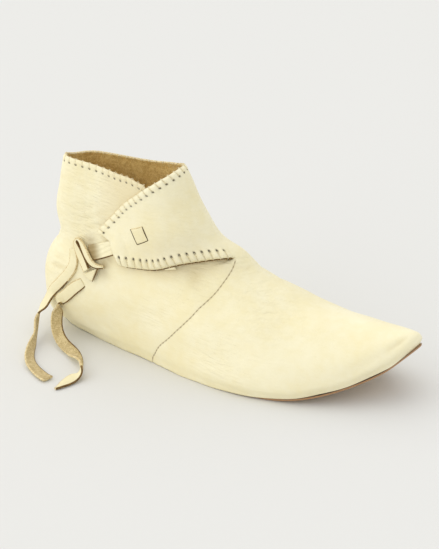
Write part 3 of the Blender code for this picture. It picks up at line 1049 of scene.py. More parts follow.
@dataclass
class Upper:
    """The leather upper: closed below the throat, then a collar that winds on as the flap.

    Columns wind from the throat back along the outer side, round the heel, forward along the
    inner side and on over the front. Rows rise from the feather line to the rim.
    """
    finishes: Finishes
    wall: float = 0.0016
    # The grid
    front_columns: int = 1
    ring_columns: int = 380
    flap_columns: int = 150
    ring_rows: int = 56
    collar_rows: int = 36
    fine_columns: float = 0.42
    foot_rows: float = 1.25
    layer_reach: float = 75.0
    # Throat, rim and the rise of the collar along the outer side
    throat_angle: float = 175.0
    throat_level: float = 0.70
    quarter_front: float = 174.6
    quarter_middle: float = 120.0
    rim_low_angle: float = 160.0
    rim_drop_angle: float = 126.0
    rim_drop: float = 0.24
    collar_rise: float = 0.0053
    rise_angle: float = 14.0
    rise_reach: float = 20.0
    fall_angle: float = 106.0
    fall_reach: float = 27.0
    fade_level: float = 0.80
    # The flap: its lift over the quarter, the gape of its lower edge and its rounded end
    flap_end: float = 72.5
    flap_lift: float = 0.0024
    free_share: float = 0.07
    lift_angles: tuple[float, float] = (195.0, 170.0)
    lift_rise: float = 0.2
    flap_gape: float = 0.0022
    gape_rise: float = 0.22
    gape_along: float = 1.25
    corner_back: float = 9.5
    corner_from: float = 0.78
    end_reach: float = 14.0
    end_swell: float = 0.0011
    end_turn: float = 0.0005
    # Strip of painted shadow below the flap's lower edge
    shadow_drop: float = 0.0002
    shadow_width: float = 0.0011
    shadow_thickness: float = 0.0005
    shadow_taper: float = 0.15
    level_degrees: float = 150.0
    # Sewn edges and the side seam
    rim_stitch_from: float = 136.0
    rim_pitch: float = 0.0057
    low_pitch: float = 0.0053
    rim_slant: float = 0.35
    low_slant: float = -0.3
    rim_pull: float = 0.3
    flap_pull: float = 0.6
    change_columns: int = 10
    search_columns: int = 26
    rim_hole: float = 0.0037
    flap_hole: float = 0.0045
    low_hole: float = 0.0060
    groove: float = 0.0007
    groove_width: float = 0.0009
    groove_from: float = 0.85
    groove_over: float = 0.5
    puff: float = 0.0009
    puff_depth: float = 1.25
    edge_rounding: float = 0.0005
    # Painted shade along the stitch grooves, from hole to edge
    groove_shade: float = 0.5
    unsewn_depth: float = 20.0
    seam_top: float = 0.705
    seam_reach: float = 0.012
    seam_over: float = 0.0005
    seam_dip: float = 0.0005
    seam_dip_width: float = 0.0022
    # Hem, and the reach of the painted shade below the flap's lower edge
    hem_level: float = 0.05
    hem_drop: tuple[float, float] = (0.0028, 0.0007)
    shade_reach: float = 0.075

    def __post_init__(self) -> None:
        """Works out the grid and its relief."""
        self.closing = self.front_columns + self.ring_columns
        self.winding = self.wind()
        self.angle, self.level, self.lift = self.lay_out()
        self.base = FORM.lifted(self.angle, self.level, self.lift)
        self.normals = FORM.normal(self.angle, self.level)
        self.top_edge, self.low_edge = self.sewn_edges()
        self.relief = self.all_relief()
        self.points = self.base + self.normals * self.relief[..., None]
        self.points[..., 2] += self.rim_height() - self.hem()

    def sewn_edges(self) -> tuple[SewnEdge, SewnEdge]:
        """The rim, which goes on as the flap's upper edge, and the flap's lower edge.

        Returns:
            Both edges.
        """
        columns = len(self.winding)
        first = int(np.searchsorted(-self.winding, -self.rim_stitch_from))
        flap = smoothstep((np.arange(columns) - self.closing) / self.change_columns + 0.5)
        depth = self.rim_hole + (self.flap_hole - self.rim_hole) * flap
        pull = self.rim_pull + self.flap_pull * flap
        top = SewnEdge(first, columns - 2, self.rows - 1, -1, self.rim_pitch, self.rim_slant, depth, pull)
        low = SewnEdge(
            self.closing + 3, columns - 3, self.ring_rows, 1, self.low_pitch, self.low_slant,
            np.full(columns, self.low_hole), np.ones(columns),
        )
        return top, low

    @property
    def rows(self) -> int:
        """Points in a column."""
        return self.ring_rows + self.collar_rows + 1

    def wind(self) -> Array:
        """Winding angle of each column; columns lie closer where the foot is longer.

        Returns:
            Angles falling from the throat to the end of the flap.
        """
        close = self.throat_angle - FULL_TURN
        front = np.linspace(self.throat_angle, self.quarter_front, self.front_columns + 1)
        fine = np.linspace(self.quarter_front, close, 2000)
        density = self.fine_columns + np.abs(np.sin(np.radians(fine)))
        walked = np.concatenate([[0.0], np.cumsum(density[1:] + density[:-1])])
        ring = np.interp(np.linspace(0, walked[-1], self.ring_columns + 1), walked, fine)
        flap = np.linspace(close, self.flap_end - FULL_TURN, self.flap_columns + 1)
        return np.concatenate([front[:-1], ring[:-1], flap])

    def lay_out(self) -> tuple[Array, Array, Array]:
        """Angle, level and lift of every grid point.

        Below the throat the level rises evenly with the row. Above it, it goes from the
        throat, or the flap's lower edge, to the rim, or the flap's upper edge.

        Returns:
            Three grids, columns by rows.
        """
        winding = self.winding[:, None]
        on_flap = (np.arange(len(self.winding)) > self.closing)[:, None]
        row = np.arange(self.rows)[None, :]
        rise = np.clip((row - self.ring_rows) / self.collar_rows, 0.0, 1.0)
        flap_angle = np.minimum(winding + FULL_TURN, self.throat_angle)
        share = (self.throat_angle - flap_angle) / (self.throat_angle - self.flap_end)
        edges = through_rows(np.array(FLAP_EDGES), share)
        drop = smoothstep((winding - self.rim_drop_angle) / (self.rim_low_angle - self.rim_drop_angle))
        top = np.where(on_flap, edges[..., 1], 1.0 - self.rim_drop * drop)
        foot = np.where(on_flap, edges[..., 0], self.throat_level)
        below = self.throat_level * np.minimum(row / self.ring_rows, 1.0) ** self.foot_rows
        level = np.where(row > self.ring_rows, foot + (top - foot) * rise, below)
        level = np.where(on_flap & (row == self.ring_rows), foot, level)
        corner_rise = smoothstep((rise - self.corner_from) / (1 - self.corner_from))
        corner = self.corner_back * share**2 * (1 - corner_rise)
        angle = winding + np.where(on_flap, FULL_TURN + corner, 0.0)
        start, full = self.lift_angles
        ramp = smoothstep((start - winding - FULL_TURN) / (start - full))
        free = np.where(on_flap, smoothstep(share / self.free_share), 0.0)
        lift = self.flap_lift * ramp * np.maximum(free, smoothstep(rise / self.lift_rise))
        along = np.sin(np.pi * np.clip(share * self.gape_along, 0, 1))
        gape = self.flap_gape * np.where(on_flap, bell(rise / self.gape_rise), 0.0) * along
        return angle, level, lift + gape

    def rim_height(self) -> Array:
        """How far the collar stands above the form.

        Full along the outer side, falling as a bell round the back and smoothly at the flap.

        Returns:
            Heights in metres, as a grid, fading out down the shaft.
        """
        behind = np.minimum(self.winding - self.rise_angle, 0.0) / self.rise_reach
        fall = smoothstep((self.winding - self.fall_angle) / self.fall_reach)
        height = self.collar_rise * bell(behind) * (1 - fall)
        return height[:, None] * smoothstep((self.level - self.fade_level) / (1 - self.fade_level))

    def hem(self) -> Array:
        """How far the lowest rows hang below the feather line.

        The square of the way below the hem level, times a drop that is full round heel and
        waist, where the leather hides the sole, and small along ball and toe.

        Returns:
            Drops in metres, as a grid.
        """
        rear, front = self.hem_drop
        drop = rear + (front - rear) * sole_shows(self.angle)
        return drop * np.clip(1 - self.level / self.hem_level, 0, 1) ** 2

    def same_layer(self, winding: float) -> Array:
        """True where a grid point is on the turn of leather round a winding angle.

        Args:
            winding: Winding angle of the place.

        Returns:
            A grid of booleans; the closed rings count on both sides of the throat.
        """
        turn = self.winding[:, None] - winding + np.zeros(self.rows)
        closed = np.arange(self.rows)[None, :] <= self.ring_rows
        turn = np.where(closed, (turn + 180) % FULL_TURN - 180, turn)
        return np.abs(turn) < self.layer_reach

    def edge_places(self, edge: SewnEdge) -> tuple[Array, Array]:
        """Stitches counted along an edge, and depth of each grid point inside it.

        Each point of the collar rows goes to the nearest of the edge's columns round it; what
        is left along the edge there adds to the length walked, and the rest is its depth.

        Args:
            edge: The sewn edge.

        Returns:
            Stitch counts from the edge's first stitch, and depths, both as grids.
        """
        rim = self.base[:, edge.row]
        along = run_along(rim)
        tangent = unit(np.gradient(rim, axis=0))
        columns = np.arange(len(rim))
        steps = np.arange(-self.search_columns, self.search_columns + 1)
        beside = np.clip(columns[:, None] + steps, edge.first, edge.last)
        points = self.base[:, self.ring_rows:]
        apart = np.linalg.norm(points[:, :, None] - rim[beside][:, None], axis=-1)
        foot = np.take_along_axis(beside, apart.argmin(-1), 1)
        away = points - rim[foot]
        onward = (away * tangent[foot]).sum(-1)
        inside = np.sqrt(np.maximum((away**2).sum(-1) - onward**2, 0))
        count = (along[foot] + onward - along[edge.first] + edge.slant * inside) / edge.pitch
        lower = ((0, 0), (self.ring_rows, 0))
        return np.pad(count, lower), np.pad(inside, lower, constant_values=1.0)

    def edge_relief(self, edge: SewnEdge) -> Array:
        """Puffs and grooves that the stitches pull into an edge.

        Between stitches the leather swells as a half sine of the depth, at a stitch it is
        pulled in by a bell curve across the thread, and the rim itself rounds off.

        Args:
            edge: The sewn edge.

        Returns:
            Heights as a grid.
        """
        count, depth = self.edge_places(edge)
        column = np.arange(len(self.winding))
        sewn = ((column >= edge.first) & (column <= edge.last))[:, None]
        pull = bell((count - np.round(count)) * edge.pitch / self.groove_width)
        share = depth / edge.hole_depth[:, None]
        inside = 1 - smoothstep((share - self.groove_from) / self.groove_over)
        swell = np.sin(np.pi * np.clip(share / self.puff_depth, 0, 1))
        rounding = -self.edge_rounding * np.clip(1 - depth / self.wall, 0, 1) ** 2
        height = (self.puff * swell * (1 - pull) - self.groove * pull * inside) * edge.pull[:, None]
        return np.where(sewn, height, 0.0) + rounding

    def seam_places(self) -> Array:
        """Place of every grid point beside the side seam.

        Returns:
            A grid of vectors: signed distance across, length along, and 1 near the seam.
        """
        line = through_rows(np.array(SEAM), np.linspace(0.0, 1.0, 260))
        track = FORM.point(line[:, 0], line[:, 1])
        tangent = unit(np.gradient(track, axis=0))
        side = np.cross(FORM.normal(line[:, 0], line[:, 1]), tangent)
        walked = run_along(track)
        far = self.seam_reach
        places = np.zeros((*self.base.shape[:2], 3))
        near = (self.base > track.min(0) - far).all(-1) & (self.base < track.max(0) + far).all(-1)
        near &= self.same_layer(self.quarter_middle) & (self.level < self.seam_top)
        points = self.base[near]
        nearest = np.linalg.norm(points[:, None] - track, axis=-1).argmin(1)
        away = points - track[nearest]
        across = (away * side[nearest]).sum(-1)
        along = walked[nearest] + (away * tangent[nearest]).sum(-1)
        within = np.minimum(along, walked[-1] - along) > -self.seam_over
        places[near] = np.stack([across, along, within & (np.abs(across) < far)], -1)
        return places

    def all_relief(self) -> Array:
        """Height of the leather over the plain form, from folds, sewing, seam and flap.

        Returns:
            Heights as a grid.
        """
        self.folded = np.zeros(self.base.shape[:2])
        for fold in FOLDS:
            middle = fold.places[len(fold.places) // 2][0]
            self.folded += fold.relief(self.base, self.same_layer(middle))
        relief = self.folded + self.waves() + self.edge_relief(self.top_edge)
        for swell in SWELLS:
            relief += swell.relief(self.base, self.same_layer(swell.winding))
        flap = (np.arange(len(self.winding)) > self.closing)[:, None]
        relief += np.where(flap, self.edge_relief(self.low_edge), 0.0)
        self.seam = self.seam_places()
        relief -= self.seam_dip * bell(self.seam[..., 0] / self.seam_dip_width) * self.seam[..., 2]
        end = np.clip((self.winding + FULL_TURN - self.flap_end) / self.end_reach, 0, 1)[:, None]
        turned = self.end_swell * np.sin(np.pi * end) - self.end_turn * (1 - end) ** 3
        relief += np.where(flap, turned, 0.0)
        return relief

    def waves(self) -> Array:
        """Slight unevenness of soft leather: three slow sine waves, by their lengths in metres.

        Returns:
            Heights as a grid.
        """
        x, y, z = (self.base[..., k] for k in range(3))
        first = np.sin(2 * np.pi * (x / 0.047 + z / 0.061 + y / 0.083))
        second = np.sin(2 * np.pi * (x / 0.083 - z / 0.034 + 0.3))
        third = np.sin(2 * np.pi * (x / 0.029 + z / 0.024 - y / 0.052 + 0.7))
        return 0.22 * MM * first + 0.22 * MM * second + 0.12 * MM * third

    def sewing(self) -> Array:
        """Place of every grid point on the sewing of its nearest edge.

        Returns:
            A grid of vectors: stitches along the edge, depth as a share of the holes' depth,
            and how dark the painted shade along the grooves from hole to edge is.
        """
        column = np.arange(len(self.winding))
        places = np.zeros((*self.base.shape[:2], 3))
        places[..., 1] = self.unsewn_depth
        for edge, there in ((self.top_edge, column >= 0), (self.low_edge, column > self.closing)):
            count, depth = self.edge_places(edge)
            share = depth / edge.hole_depth[:, None]
            sewn = (column >= edge.first) & (column <= edge.last) & there
            nearer = sewn[:, None] & (share < places[..., 1])
            groove_shade = self.groove_shade * edge.pull**2
            here = np.stack(np.broadcast_arrays(count, share, groove_shade[:, None]), -1)
            places = np.where(nearer[..., None], here, places)
        return places

    def painted_shade_under_flap(self) -> Array:
        """How much painted shade the flap's lower edge puts on the quarter: a bell of the way below that
        edge.

        Returns:
            Shares from 0 to 1, as a grid.
        """
        share = (self.throat_angle - self.angle) / (self.throat_angle - self.flap_end)
        edge = through_rows(np.array(FLAP_EDGES), np.clip(share, 0, 1))[..., 0]
        along = np.sin(np.pi * np.clip(share, 0, 1)) ** 0.5
        below = np.clip(edge - self.level, 0, None)
        outer = self.same_layer(self.quarter_middle) & (self.winding[:, None] > 0)
        return along * bell(below / self.shade_reach) * outer

    def spotted(self, spots: tuple[Spot, ...]) -> Array:
        """Weight of every grid point: the strongest of the bells round a set of spots.

        Args:
            spots: Places with their reach and strength.

        Returns:
            Weights from 0 to 1, as a grid.
        """
        weight = np.zeros(self.base.shape[:2])
        for spot in spots:
            middle = FORM.point(np.array(spot.winding), np.array(spot.level))
            apart = np.linalg.norm(self.base - middle, axis=-1)
            here = spot.strength * bell(apart / spot.reach) * self.same_layer(spot.winding)
            weight = np.maximum(weight, here)
        return weight

    def faces(self) -> tuple[Array, Array]:
        """Quads of the leather, and which grid points they use.

        Returns:
            Quads numbered by used point, and the used points' numbers in the grid.
        """
        columns = len(self.winding)
        quads = grid_quads(columns, self.rows)
        column, row = np.divmod(quads[:, 0], self.rows)
        ring = (column < self.closing) & ((row < self.ring_rows) | (column >= self.front_columns))
        flap = (column >= self.closing) & (row >= self.ring_rows)
        number = np.arange(columns * self.rows)
        closed = np.arange(self.ring_rows + 1)
        number[self.closing * self.rows + closed] = closed
        used, places = np.unique(number[quads[ring | flap]], return_inverse=True)
        return places.reshape(-1, 4), used

    def build(self) -> Object:
        """Makes the upper and puts it in the place of its solid.

        Returns:
            The piece.
        """
        quads, used = self.faces()
        stored = {
            # Painted shade in crease troughs and below the flap's lower edge
            "crease_and_flap_shade": np.clip(self.folded / MM - self.painted_shade_under_flap(), -1, 1).reshape(-1)[used],
            "sewing": self.sewing().reshape(-1, 3)[used],
            "wrinkled": self.spotted(WORN_SPOTS).reshape(-1)[used],
            "shade": self.spotted(SHADED_SPOTS).reshape(-1)[used],
            "seam": self.seam.reshape(-1, 3)[used],
        }
        materials = [self.finishes.upper, self.finishes.lining, self.finishes.edge]
        points = self.points.reshape(-1, 3)[used]
        piece = make_piece("upper_leather", points, [quads], materials, stored=stored)
        thicken(piece, self.wall, rim_slot=2)
        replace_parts(piece, "upper")
        return piece

    def build_flap_shadow(self) -> Object:
        """Painted shadow below the flap's lower edge: a narrow dark strip along the wall's middle.

        Returns:
            The piece.
        """
        columns = slice(self.low_edge.first + 2, self.low_edge.last - 6)
        edge, facing = self.points[columns, self.ring_rows], self.normals[columns, self.ring_rows]
        down = unit(edge - self.points[columns, self.ring_rows + 2])
        path = edge + down * self.shadow_drop - facing * self.wall / 2
        width = self.shadow_width * taper(len(path), self.shadow_taper)
        finish = self.finishes.thong_edge
        strip = narrow_strip("flap_painted_shadow", path, facing, width, self.shadow_thickness, finish)
        return strip

    def flap_height(self, angle: Array, level: Array) -> Array:
        """Height of the flap's outer face over the form, at the grid point nearest to a place.

        Args:
            angle: Angles round the shoe.
            level: Levels.

        Returns:
            Heights in metres.
        """
        flap = (slice(self.closing + 1, None), slice(self.ring_rows, None))
        angles, levels = self.angle[flap].ravel(), self.level[flap].ravel()
        heights = (self.lift + self.relief)[flap].ravel()
        rise = self.level_degrees * (levels - level.reshape(-1, 1))
        apart = (angles - angle.reshape(-1, 1)) ** 2 + rise**2
        return heights[apart.argmin(1)].reshape(angle.shape)

    def sample(self, grid: Array, column: Array, row: Array) -> Array:
        """Reads a grid between its points, by the share of the way to each neighbour.

        Args:
            grid: Columns by rows by three numbers.
            column: Column numbers with fractions.
            row: Row numbers with fractions.

        Returns:
            Vectors in the last axis.
        """
        row = np.clip(row, 0, grid.shape[1] - 1)
        c = np.clip(column.astype(int), 0, grid.shape[0] - 2)
        r = np.clip(row.astype(int), 0, grid.shape[1] - 2)
        u = (column - c)[..., None]
        v = np.clip(row - r, 0, 1)[..., None]
        low = grid[c, r] * (1 - v) + grid[c, r + 1] * v
        high = grid[c + 1, r] * (1 - v) + grid[c + 1, r + 1] * v
        return low * (1 - u) + high * u


@dataclass
class WhipStitches:
    """Thread over one sewn edge, a loop for every stitch."""
    upper: Upper
    edge: SewnEdge
    name: str
    finishes: Finishes
    radius: float = 0.00024
    sides: int = 6
    rounds: int = 8
    pace: float = 0.8
    rows_in: int = 6
    # Depth as a share of the hole's, and height over the outer face in millimetres, along a stitch
    route: Places = (
        (1.06, -0.7), (0.98, -0.05), (0.82, 0.05), (0.55, 0.06), (0.27, 0.08), (0.06, 0.06), (-0.05, -0.4),
        (-0.06, -0.9), (0.04, -1.75), (0.14, -1.85), (0.22, -1.75), (0.28, -1.4), (0.32, -1.0), (0.34, -0.7),
    )

    def on_leather(self, number: Array, share: Array) -> tuple[Array, Array]:
        """Column and row at a place on the leather, found by stepping nearer to it.

        Args:
            number: Stitches counted along the edge.
            share: Depths inside the edge as shares of the holes' depth.

        Returns:
            Columns and rows with fractions.
        """
        edge, upper = self.edge, self.upper
        count, inside = (grid[..., None] for grid in upper.edge_places(edge))
        numbers = np.arange(len(edge.hole_depth))
        column = np.interp(number, count[edge.first:edge.last, edge.row, 0], numbers[edge.first:edge.last])
        row = np.full(number.shape, float(edge.row))
        rim = upper.base[:, edge.row]
        wide = np.linalg.norm(np.gradient(rim, axis=0), axis=-1)
        inner = upper.base[:, edge.row + self.rows_in * edge.inward]
        tall = np.linalg.norm(inner - rim, axis=-1) / self.rows_in
        for _ in range(self.rounds):
            depth = share * np.interp(column, numbers, edge.hole_depth)
            short = depth - upper.sample(inside, column, row)[..., 0]
            row = row + self.pace * edge.inward * short / np.interp(column, numbers, tall)
            off = (number - upper.sample(count, column, row)[..., 0]) * edge.pitch
            column = column + self.pace * off / np.interp(column, numbers, wide)
            column = np.clip(column, edge.first, edge.last)
        return column, row

    def build(self) -> Object:
        """Makes the thread tubes: a ring of points round each place of each stitch.

        Returns:
            All loops as one piece.
        """
        upper, edge = self.upper, self.edge
        count = int(upper.edge_places(edge)[0][edge.last, edge.row])
        share, height = np.array(self.route).T * np.array([[1.0], [MM]])
        number, share, height = np.broadcast_arrays(np.arange(1, count)[:, None], share, height)
        column, row = self.on_leather(number, np.maximum(share, 0))
        inner = upper.sample(upper.points, column, row + 2 * edge.inward)
        outward = unit(upper.sample(upper.points, column, row) - inner)
        past = np.maximum(-share, 0) * np.interp(column, np.arange(len(edge.hole_depth)), edge.hole_depth)
        path = upper.sample(upper.points, column, row) + outward * past[..., None]
        path = path + upper.sample(upper.normals, column, row) * height[..., None]
        run = unit(np.gradient(path, axis=1))
        beside = upper.sample(upper.points, column + 1.0, row) - upper.sample(upper.points, column, row)
        side = unit(beside - run * (beside * run).sum(-1, keepdims=True))
        other = np.cross(run, side)
        turn = np.arange(self.sides) * 2 * np.pi / self.sides
        ring = side[:, :, None] * np.cos(turn)[:, None] + other[:, :, None] * np.sin(turn)[:, None]
        points = path[:, :, None] + ring * self.radius
        count, rings = path.shape[:2]
        ends = np.arange(count)[:, None] * rings * self.sides + np.arange(self.sides)
        faces = [tube_quads(count, rings, self.sides), ends[:, ::-1], ends + (rings - 1) * self.sides]
        return make_piece(self.name + "_thread", points.reshape(-1, 3), faces, [self.finishes.thread])


@dataclass
class Sole:
    """The thin leather sole, flat under heel and ball and lifted with the toe."""
    finishes: Finishes
    thickness: float = 0.0019
    margins: tuple[float, float] = (-0.0034, 0.0004)
    tip_margin: float = 0.0012
    tip_from: float = 158.0
    tip_over: float = 18.0
    tip_rise: float = 0.0026
    tip_reach: float = 0.018
    rounding: float = 0.0006
    rounding_share: float = 0.3
    end_angle: float = 0.3
    angle_step: float = 0.7
    sections: int = 120
    across: int = 14
    edge_steps: int = 8

    def outline(self, angle: Array) -> Array:
        """Edge in plan: the feather line, drawn in where the upper hides the sole.

        Args:
            angle: Angles round the shoe in degrees.

        Returns:
            Points on the floor plane.
        """
        line = FORM.point(angle, np.zeros_like(angle))[..., :2]
        ahead = FORM.point(angle + self.angle_step, np.zeros_like(angle))[..., :2] - line
        outward = unit(np.stack([-ahead[..., 1], ahead[..., 0]], -1))
        rear, front = self.margins
        tip = self.tip_margin * smoothstep((np.abs(angle) - self.tip_from) / self.tip_over)
        margin = rear + (front - rear) * sole_shows(angle) + tip
        return line - outward * margin[..., None]

    def build(self) -> Object:
        """Makes the sole: a closed section at each place along the foot, joined in order.

        A section crosses the top from outer to inner edge, goes down the rounded inner edge,
        back under the foot and up the rounded outer edge. Across the thickness an edge bulges
        as one minus the fourth power of the distance from its middle.

        Returns:
            The piece.
        """
        angle = np.linspace(self.end_angle, 180 - self.end_angle, self.sections)
        outer = self.outline(angle)[:, None]
        inner = self.outline(-angle)[:, None]
        across = unit(inner - outer)
        flat = np.linspace(0, 1, self.across)[None, :, None]
        fall = np.linspace(0, 1, self.edge_steps + 2)[None, 1:-1, None]
        bulge = self.rounding * (1 - np.abs(2 * fall - 1) ** 4)
        width = np.linalg.norm(inner - outer, axis=-1, keepdims=True)
        inset = np.minimum(self.rounding, self.rounding_share * width)
        low, high = outer + across * inset, inner - across * inset
        bulge = bulge * inset / self.rounding
        top = low + (high - low) * flat
        plan = np.concatenate([top, high + across * bulge, top[:, ::-1], low - across * bulge], 1)
        rise = np.concatenate([np.ones_like(flat), 1 - fall, np.zeros_like(flat), fall], 1)
        rise = np.broadcast_to(rise, (*plan.shape[:2], 1))
        from_heel = plan[..., :1] + FORM.origin[0]
        tip = smoothstep(1 - (from_heel.max() - from_heel) / self.tip_reach)
        height = FORM.spring(from_heel) + rise * self.thickness + self.tip_rise * tip
        points = np.concatenate([plan, height], -1)
        sides = points.shape[1]
        heel = np.arange(sides)[None]
        toe = heel[:, ::-1] + (self.sections - 1) * sides
        faces = [tube_quads(1, self.sections, sides)[:, ::-1], heel, toe]
        place = np.arange(sides)[None, :, None]
        edge_rise = np.where((place > 0) & (place < self.across - 1), 0.0, rise)
        stored = {"rise": edge_rise.reshape(-1)}
        piece = make_piece("sole_leather", points.reshape(-1, 3), faces, [self.finishes.sole], stored=stored)
        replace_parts(piece, "sole")
        return piece


@dataclass
class Patch:
    """A leather piece that lies on the upper between four corners.

    Corners run lower front, lower back, upper back, upper front, as angles and levels.
    """
    name: str
    node: str
    slot: str
    corners: Places
    lift: float
    crown: float
    thickness: float
    materials: list[Material]
    ground: "Upper | None" = None
    rim_slot: int = 2
    ribs: float = 0.0
    rib_height: float = 0.0
    edge_fall: float = 0.35
    edge_reach: float = 0.06
    steps: int = 40

    def build(self) -> Object:
        """Makes the patch: corner places mixed by two shares, crowned, ribbed and rounded.

        The crown is a half sine across, the ribs are a sine of the way up that bends from
        side to side, and a bell curve of the way from the border lowers the edges.

        Returns:
            The piece.
        """
        share = np.linspace(0, 1, self.steps + 1)
        across, up = np.meshgrid(share, share, indexing="ij")
        weights = np.stack([(1 - across) * (1 - up), across * (1 - up), across * up, (1 - across) * up], -1)
        angle, level = (weights @ np.array(corner) for corner in zip(*self.corners))
        border = np.minimum(np.minimum(across, 1 - across), np.minimum(up, 1 - up))
        wave = np.sin(2 * np.pi * (self.ribs * up + 0.5 * np.sin(2.2 * across + 3.0 * up)))
        height = self.lift + self.thickness + np.sin(np.pi * across) * self.crown
        fall = self.edge_fall * self.thickness * bell(border / self.edge_reach)
        height = height + wave * self.rib_height - fall
        if self.ground:
            height = height + self.ground.flap_height(angle, level)
        points = FORM.lifted(angle, level, height).reshape(-1, 3)
        faces = grid_quads(self.steps + 1, self.steps + 1)
        piece = make_piece(self.name, points, [faces], self.materials)
        thicken(piece, self.thickness, self.rim_slot)
        if self.node:
            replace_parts(piece, self.node)
        return piece


# The way that a thong's edge with painted shade faces: forward and a little inward
DARK_SIDE = np.array((0.87, 0.49, 0.0))


@dataclass
class Thong:
    """A flat strip of hide along a route.

    Its four materials are for the grain face, the nap face, and a light and a dark cut edge;
    the dark one is painted shade. It is on the forward side, from a share of the length on,
    unless the slots of the two edges are given.
    """
    name: str
    path: Array
    facing: Array
    width: Array
    thickness: Array
    materials: list[Material]
    face_steps: int = 9
    edge_steps: int = 3
    cup: float = 0.0
    ripple: float = 0.0
    dark_from: float = 0.0
    edge_slots: tuple[int, int] | None = None
    shade: Array | None = None

    def profile(self) -> tuple[Array, Array, Array]:
        """Section of the strip: flat faces between half-round edges.

        Returns:
            Shares of the half width, edge offsets and heights in half thicknesses.
        """
        share = np.linspace(1, -1, self.face_steps)
        turn = np.linspace(0, np.pi, self.edge_steps + 2)[1:-1]
        flat = np.zeros_like(share)
        wide = np.concatenate([share, -np.ones_like(turn), -share, np.ones_like(turn)])
        out = np.concatenate([flat, -np.sin(turn), flat, np.sin(turn)])
        high = np.concatenate([flat + 1, np.cos(turn), flat - 1, -np.cos(turn)])
        return wide, out, high

    def build(self) -> Object:
        """Carries the section along the route, turned to its facing direction.

        The faces are cupped by the square of the way from their middle, and rippled by a sine
        across them that sways along the route.

        Returns:
            The piece.
        """
        run = unit(np.gradient(self.path, axis=0))
        side = unit(np.cross(self.facing, run))
        face = np.cross(run, side)
        wide, out, high = self.profile()
        half = self.thickness[:, None] / 2
        reach = np.maximum(self.width[:, None] / 2 - half, 0.2 * half)
        offset = wide * reach + out * half
        wave = np.sin(9.0 * wide + 2.5 * np.sin(np.linspace(0, 5, len(self.path)))[:, None]) * (1 - wide**4)
        lift = high * half - self.cup * wide**2 + self.ripple * wave
        points = self.path[:, None] + side[:, None] * offset[..., None] + face[:, None] * lift[..., None]
        sides = len(wide)
        count = len(self.path)
        segment = np.arange(sides)
        faces_in = self.face_steps - 1
        turn = self.edge_steps + 1
        places = [segment < faces_in, segment < faces_in + turn, segment < 2 * faces_in + turn]
        # Painted shade: the forward edge takes the dark edge finish
        dark = np.where(np.arange(count - 1) < self.dark_from * count, 2, 3)
        ahead = (side[:-1] @ DARK_SIDE > 0)[:, None]
        light = np.full_like(dark, 2)
        edges = np.where(ahead, np.stack([light, dark], -1), np.stack([dark, light], -1))
        if self.edge_slots:
            edges = np.tile(self.edge_slots, (count - 1, 1))
        slot = np.select(places, [0, edges[:, :1], 1], edges[:, 1:])
        ends = [np.arange(sides)[None, ::-1], (count - 1) * sides + np.arange(sides)[None]]
        slots = np.concatenate([slot.ravel(), [0, 2]])
        faces = [tube_quads(1, count, sides), *ends]
        stored = {} if self.shade is None else {"shade": np.repeat(self.shade, sides)}
        return make_piece(self.name, points.reshape(-1, 3), faces, self.materials, slots=slots, stored=stored)


def taper(count: int, start: float) -> Array:
    """Width along a strip that narrows to its ends: root of a sine from start to pi less start."""
    return np.sqrt(np.sin(np.linspace(start, np.pi - start, count)))


def narrow_strip(
    name: str, path: Array, facing: Array, width: Array, thickness: float, finish: Material,
) -> Object:
    """A narrow strip of one finish.

    Args:
        name: Name of the piece.
        path: Middle line.
        facing: Directions that the strip faces.
        width: Width along the line.
        thickness: Thickness of the strip.
        finish: Its material.

    Returns:
        The piece.
    """
    return Thong(name, path, facing, width, np.full(len(path), thickness), [finish] * 4).build()


class OnQuarter(NamedTuple):
    """A point of a thong on the quarter: angle, level, and width in millimetres."""
    angle: float
    level: float
    width: float


class Free(NamedTuple):
    """A point of a thong clear of the shoe, in millimetres from the heel on the floor.

    The last three values give the direction that the grain side faces.
    """
    x: float
    y: float
    z: float
    width: float
    face_x: float
    face_y: float
    face_z: float


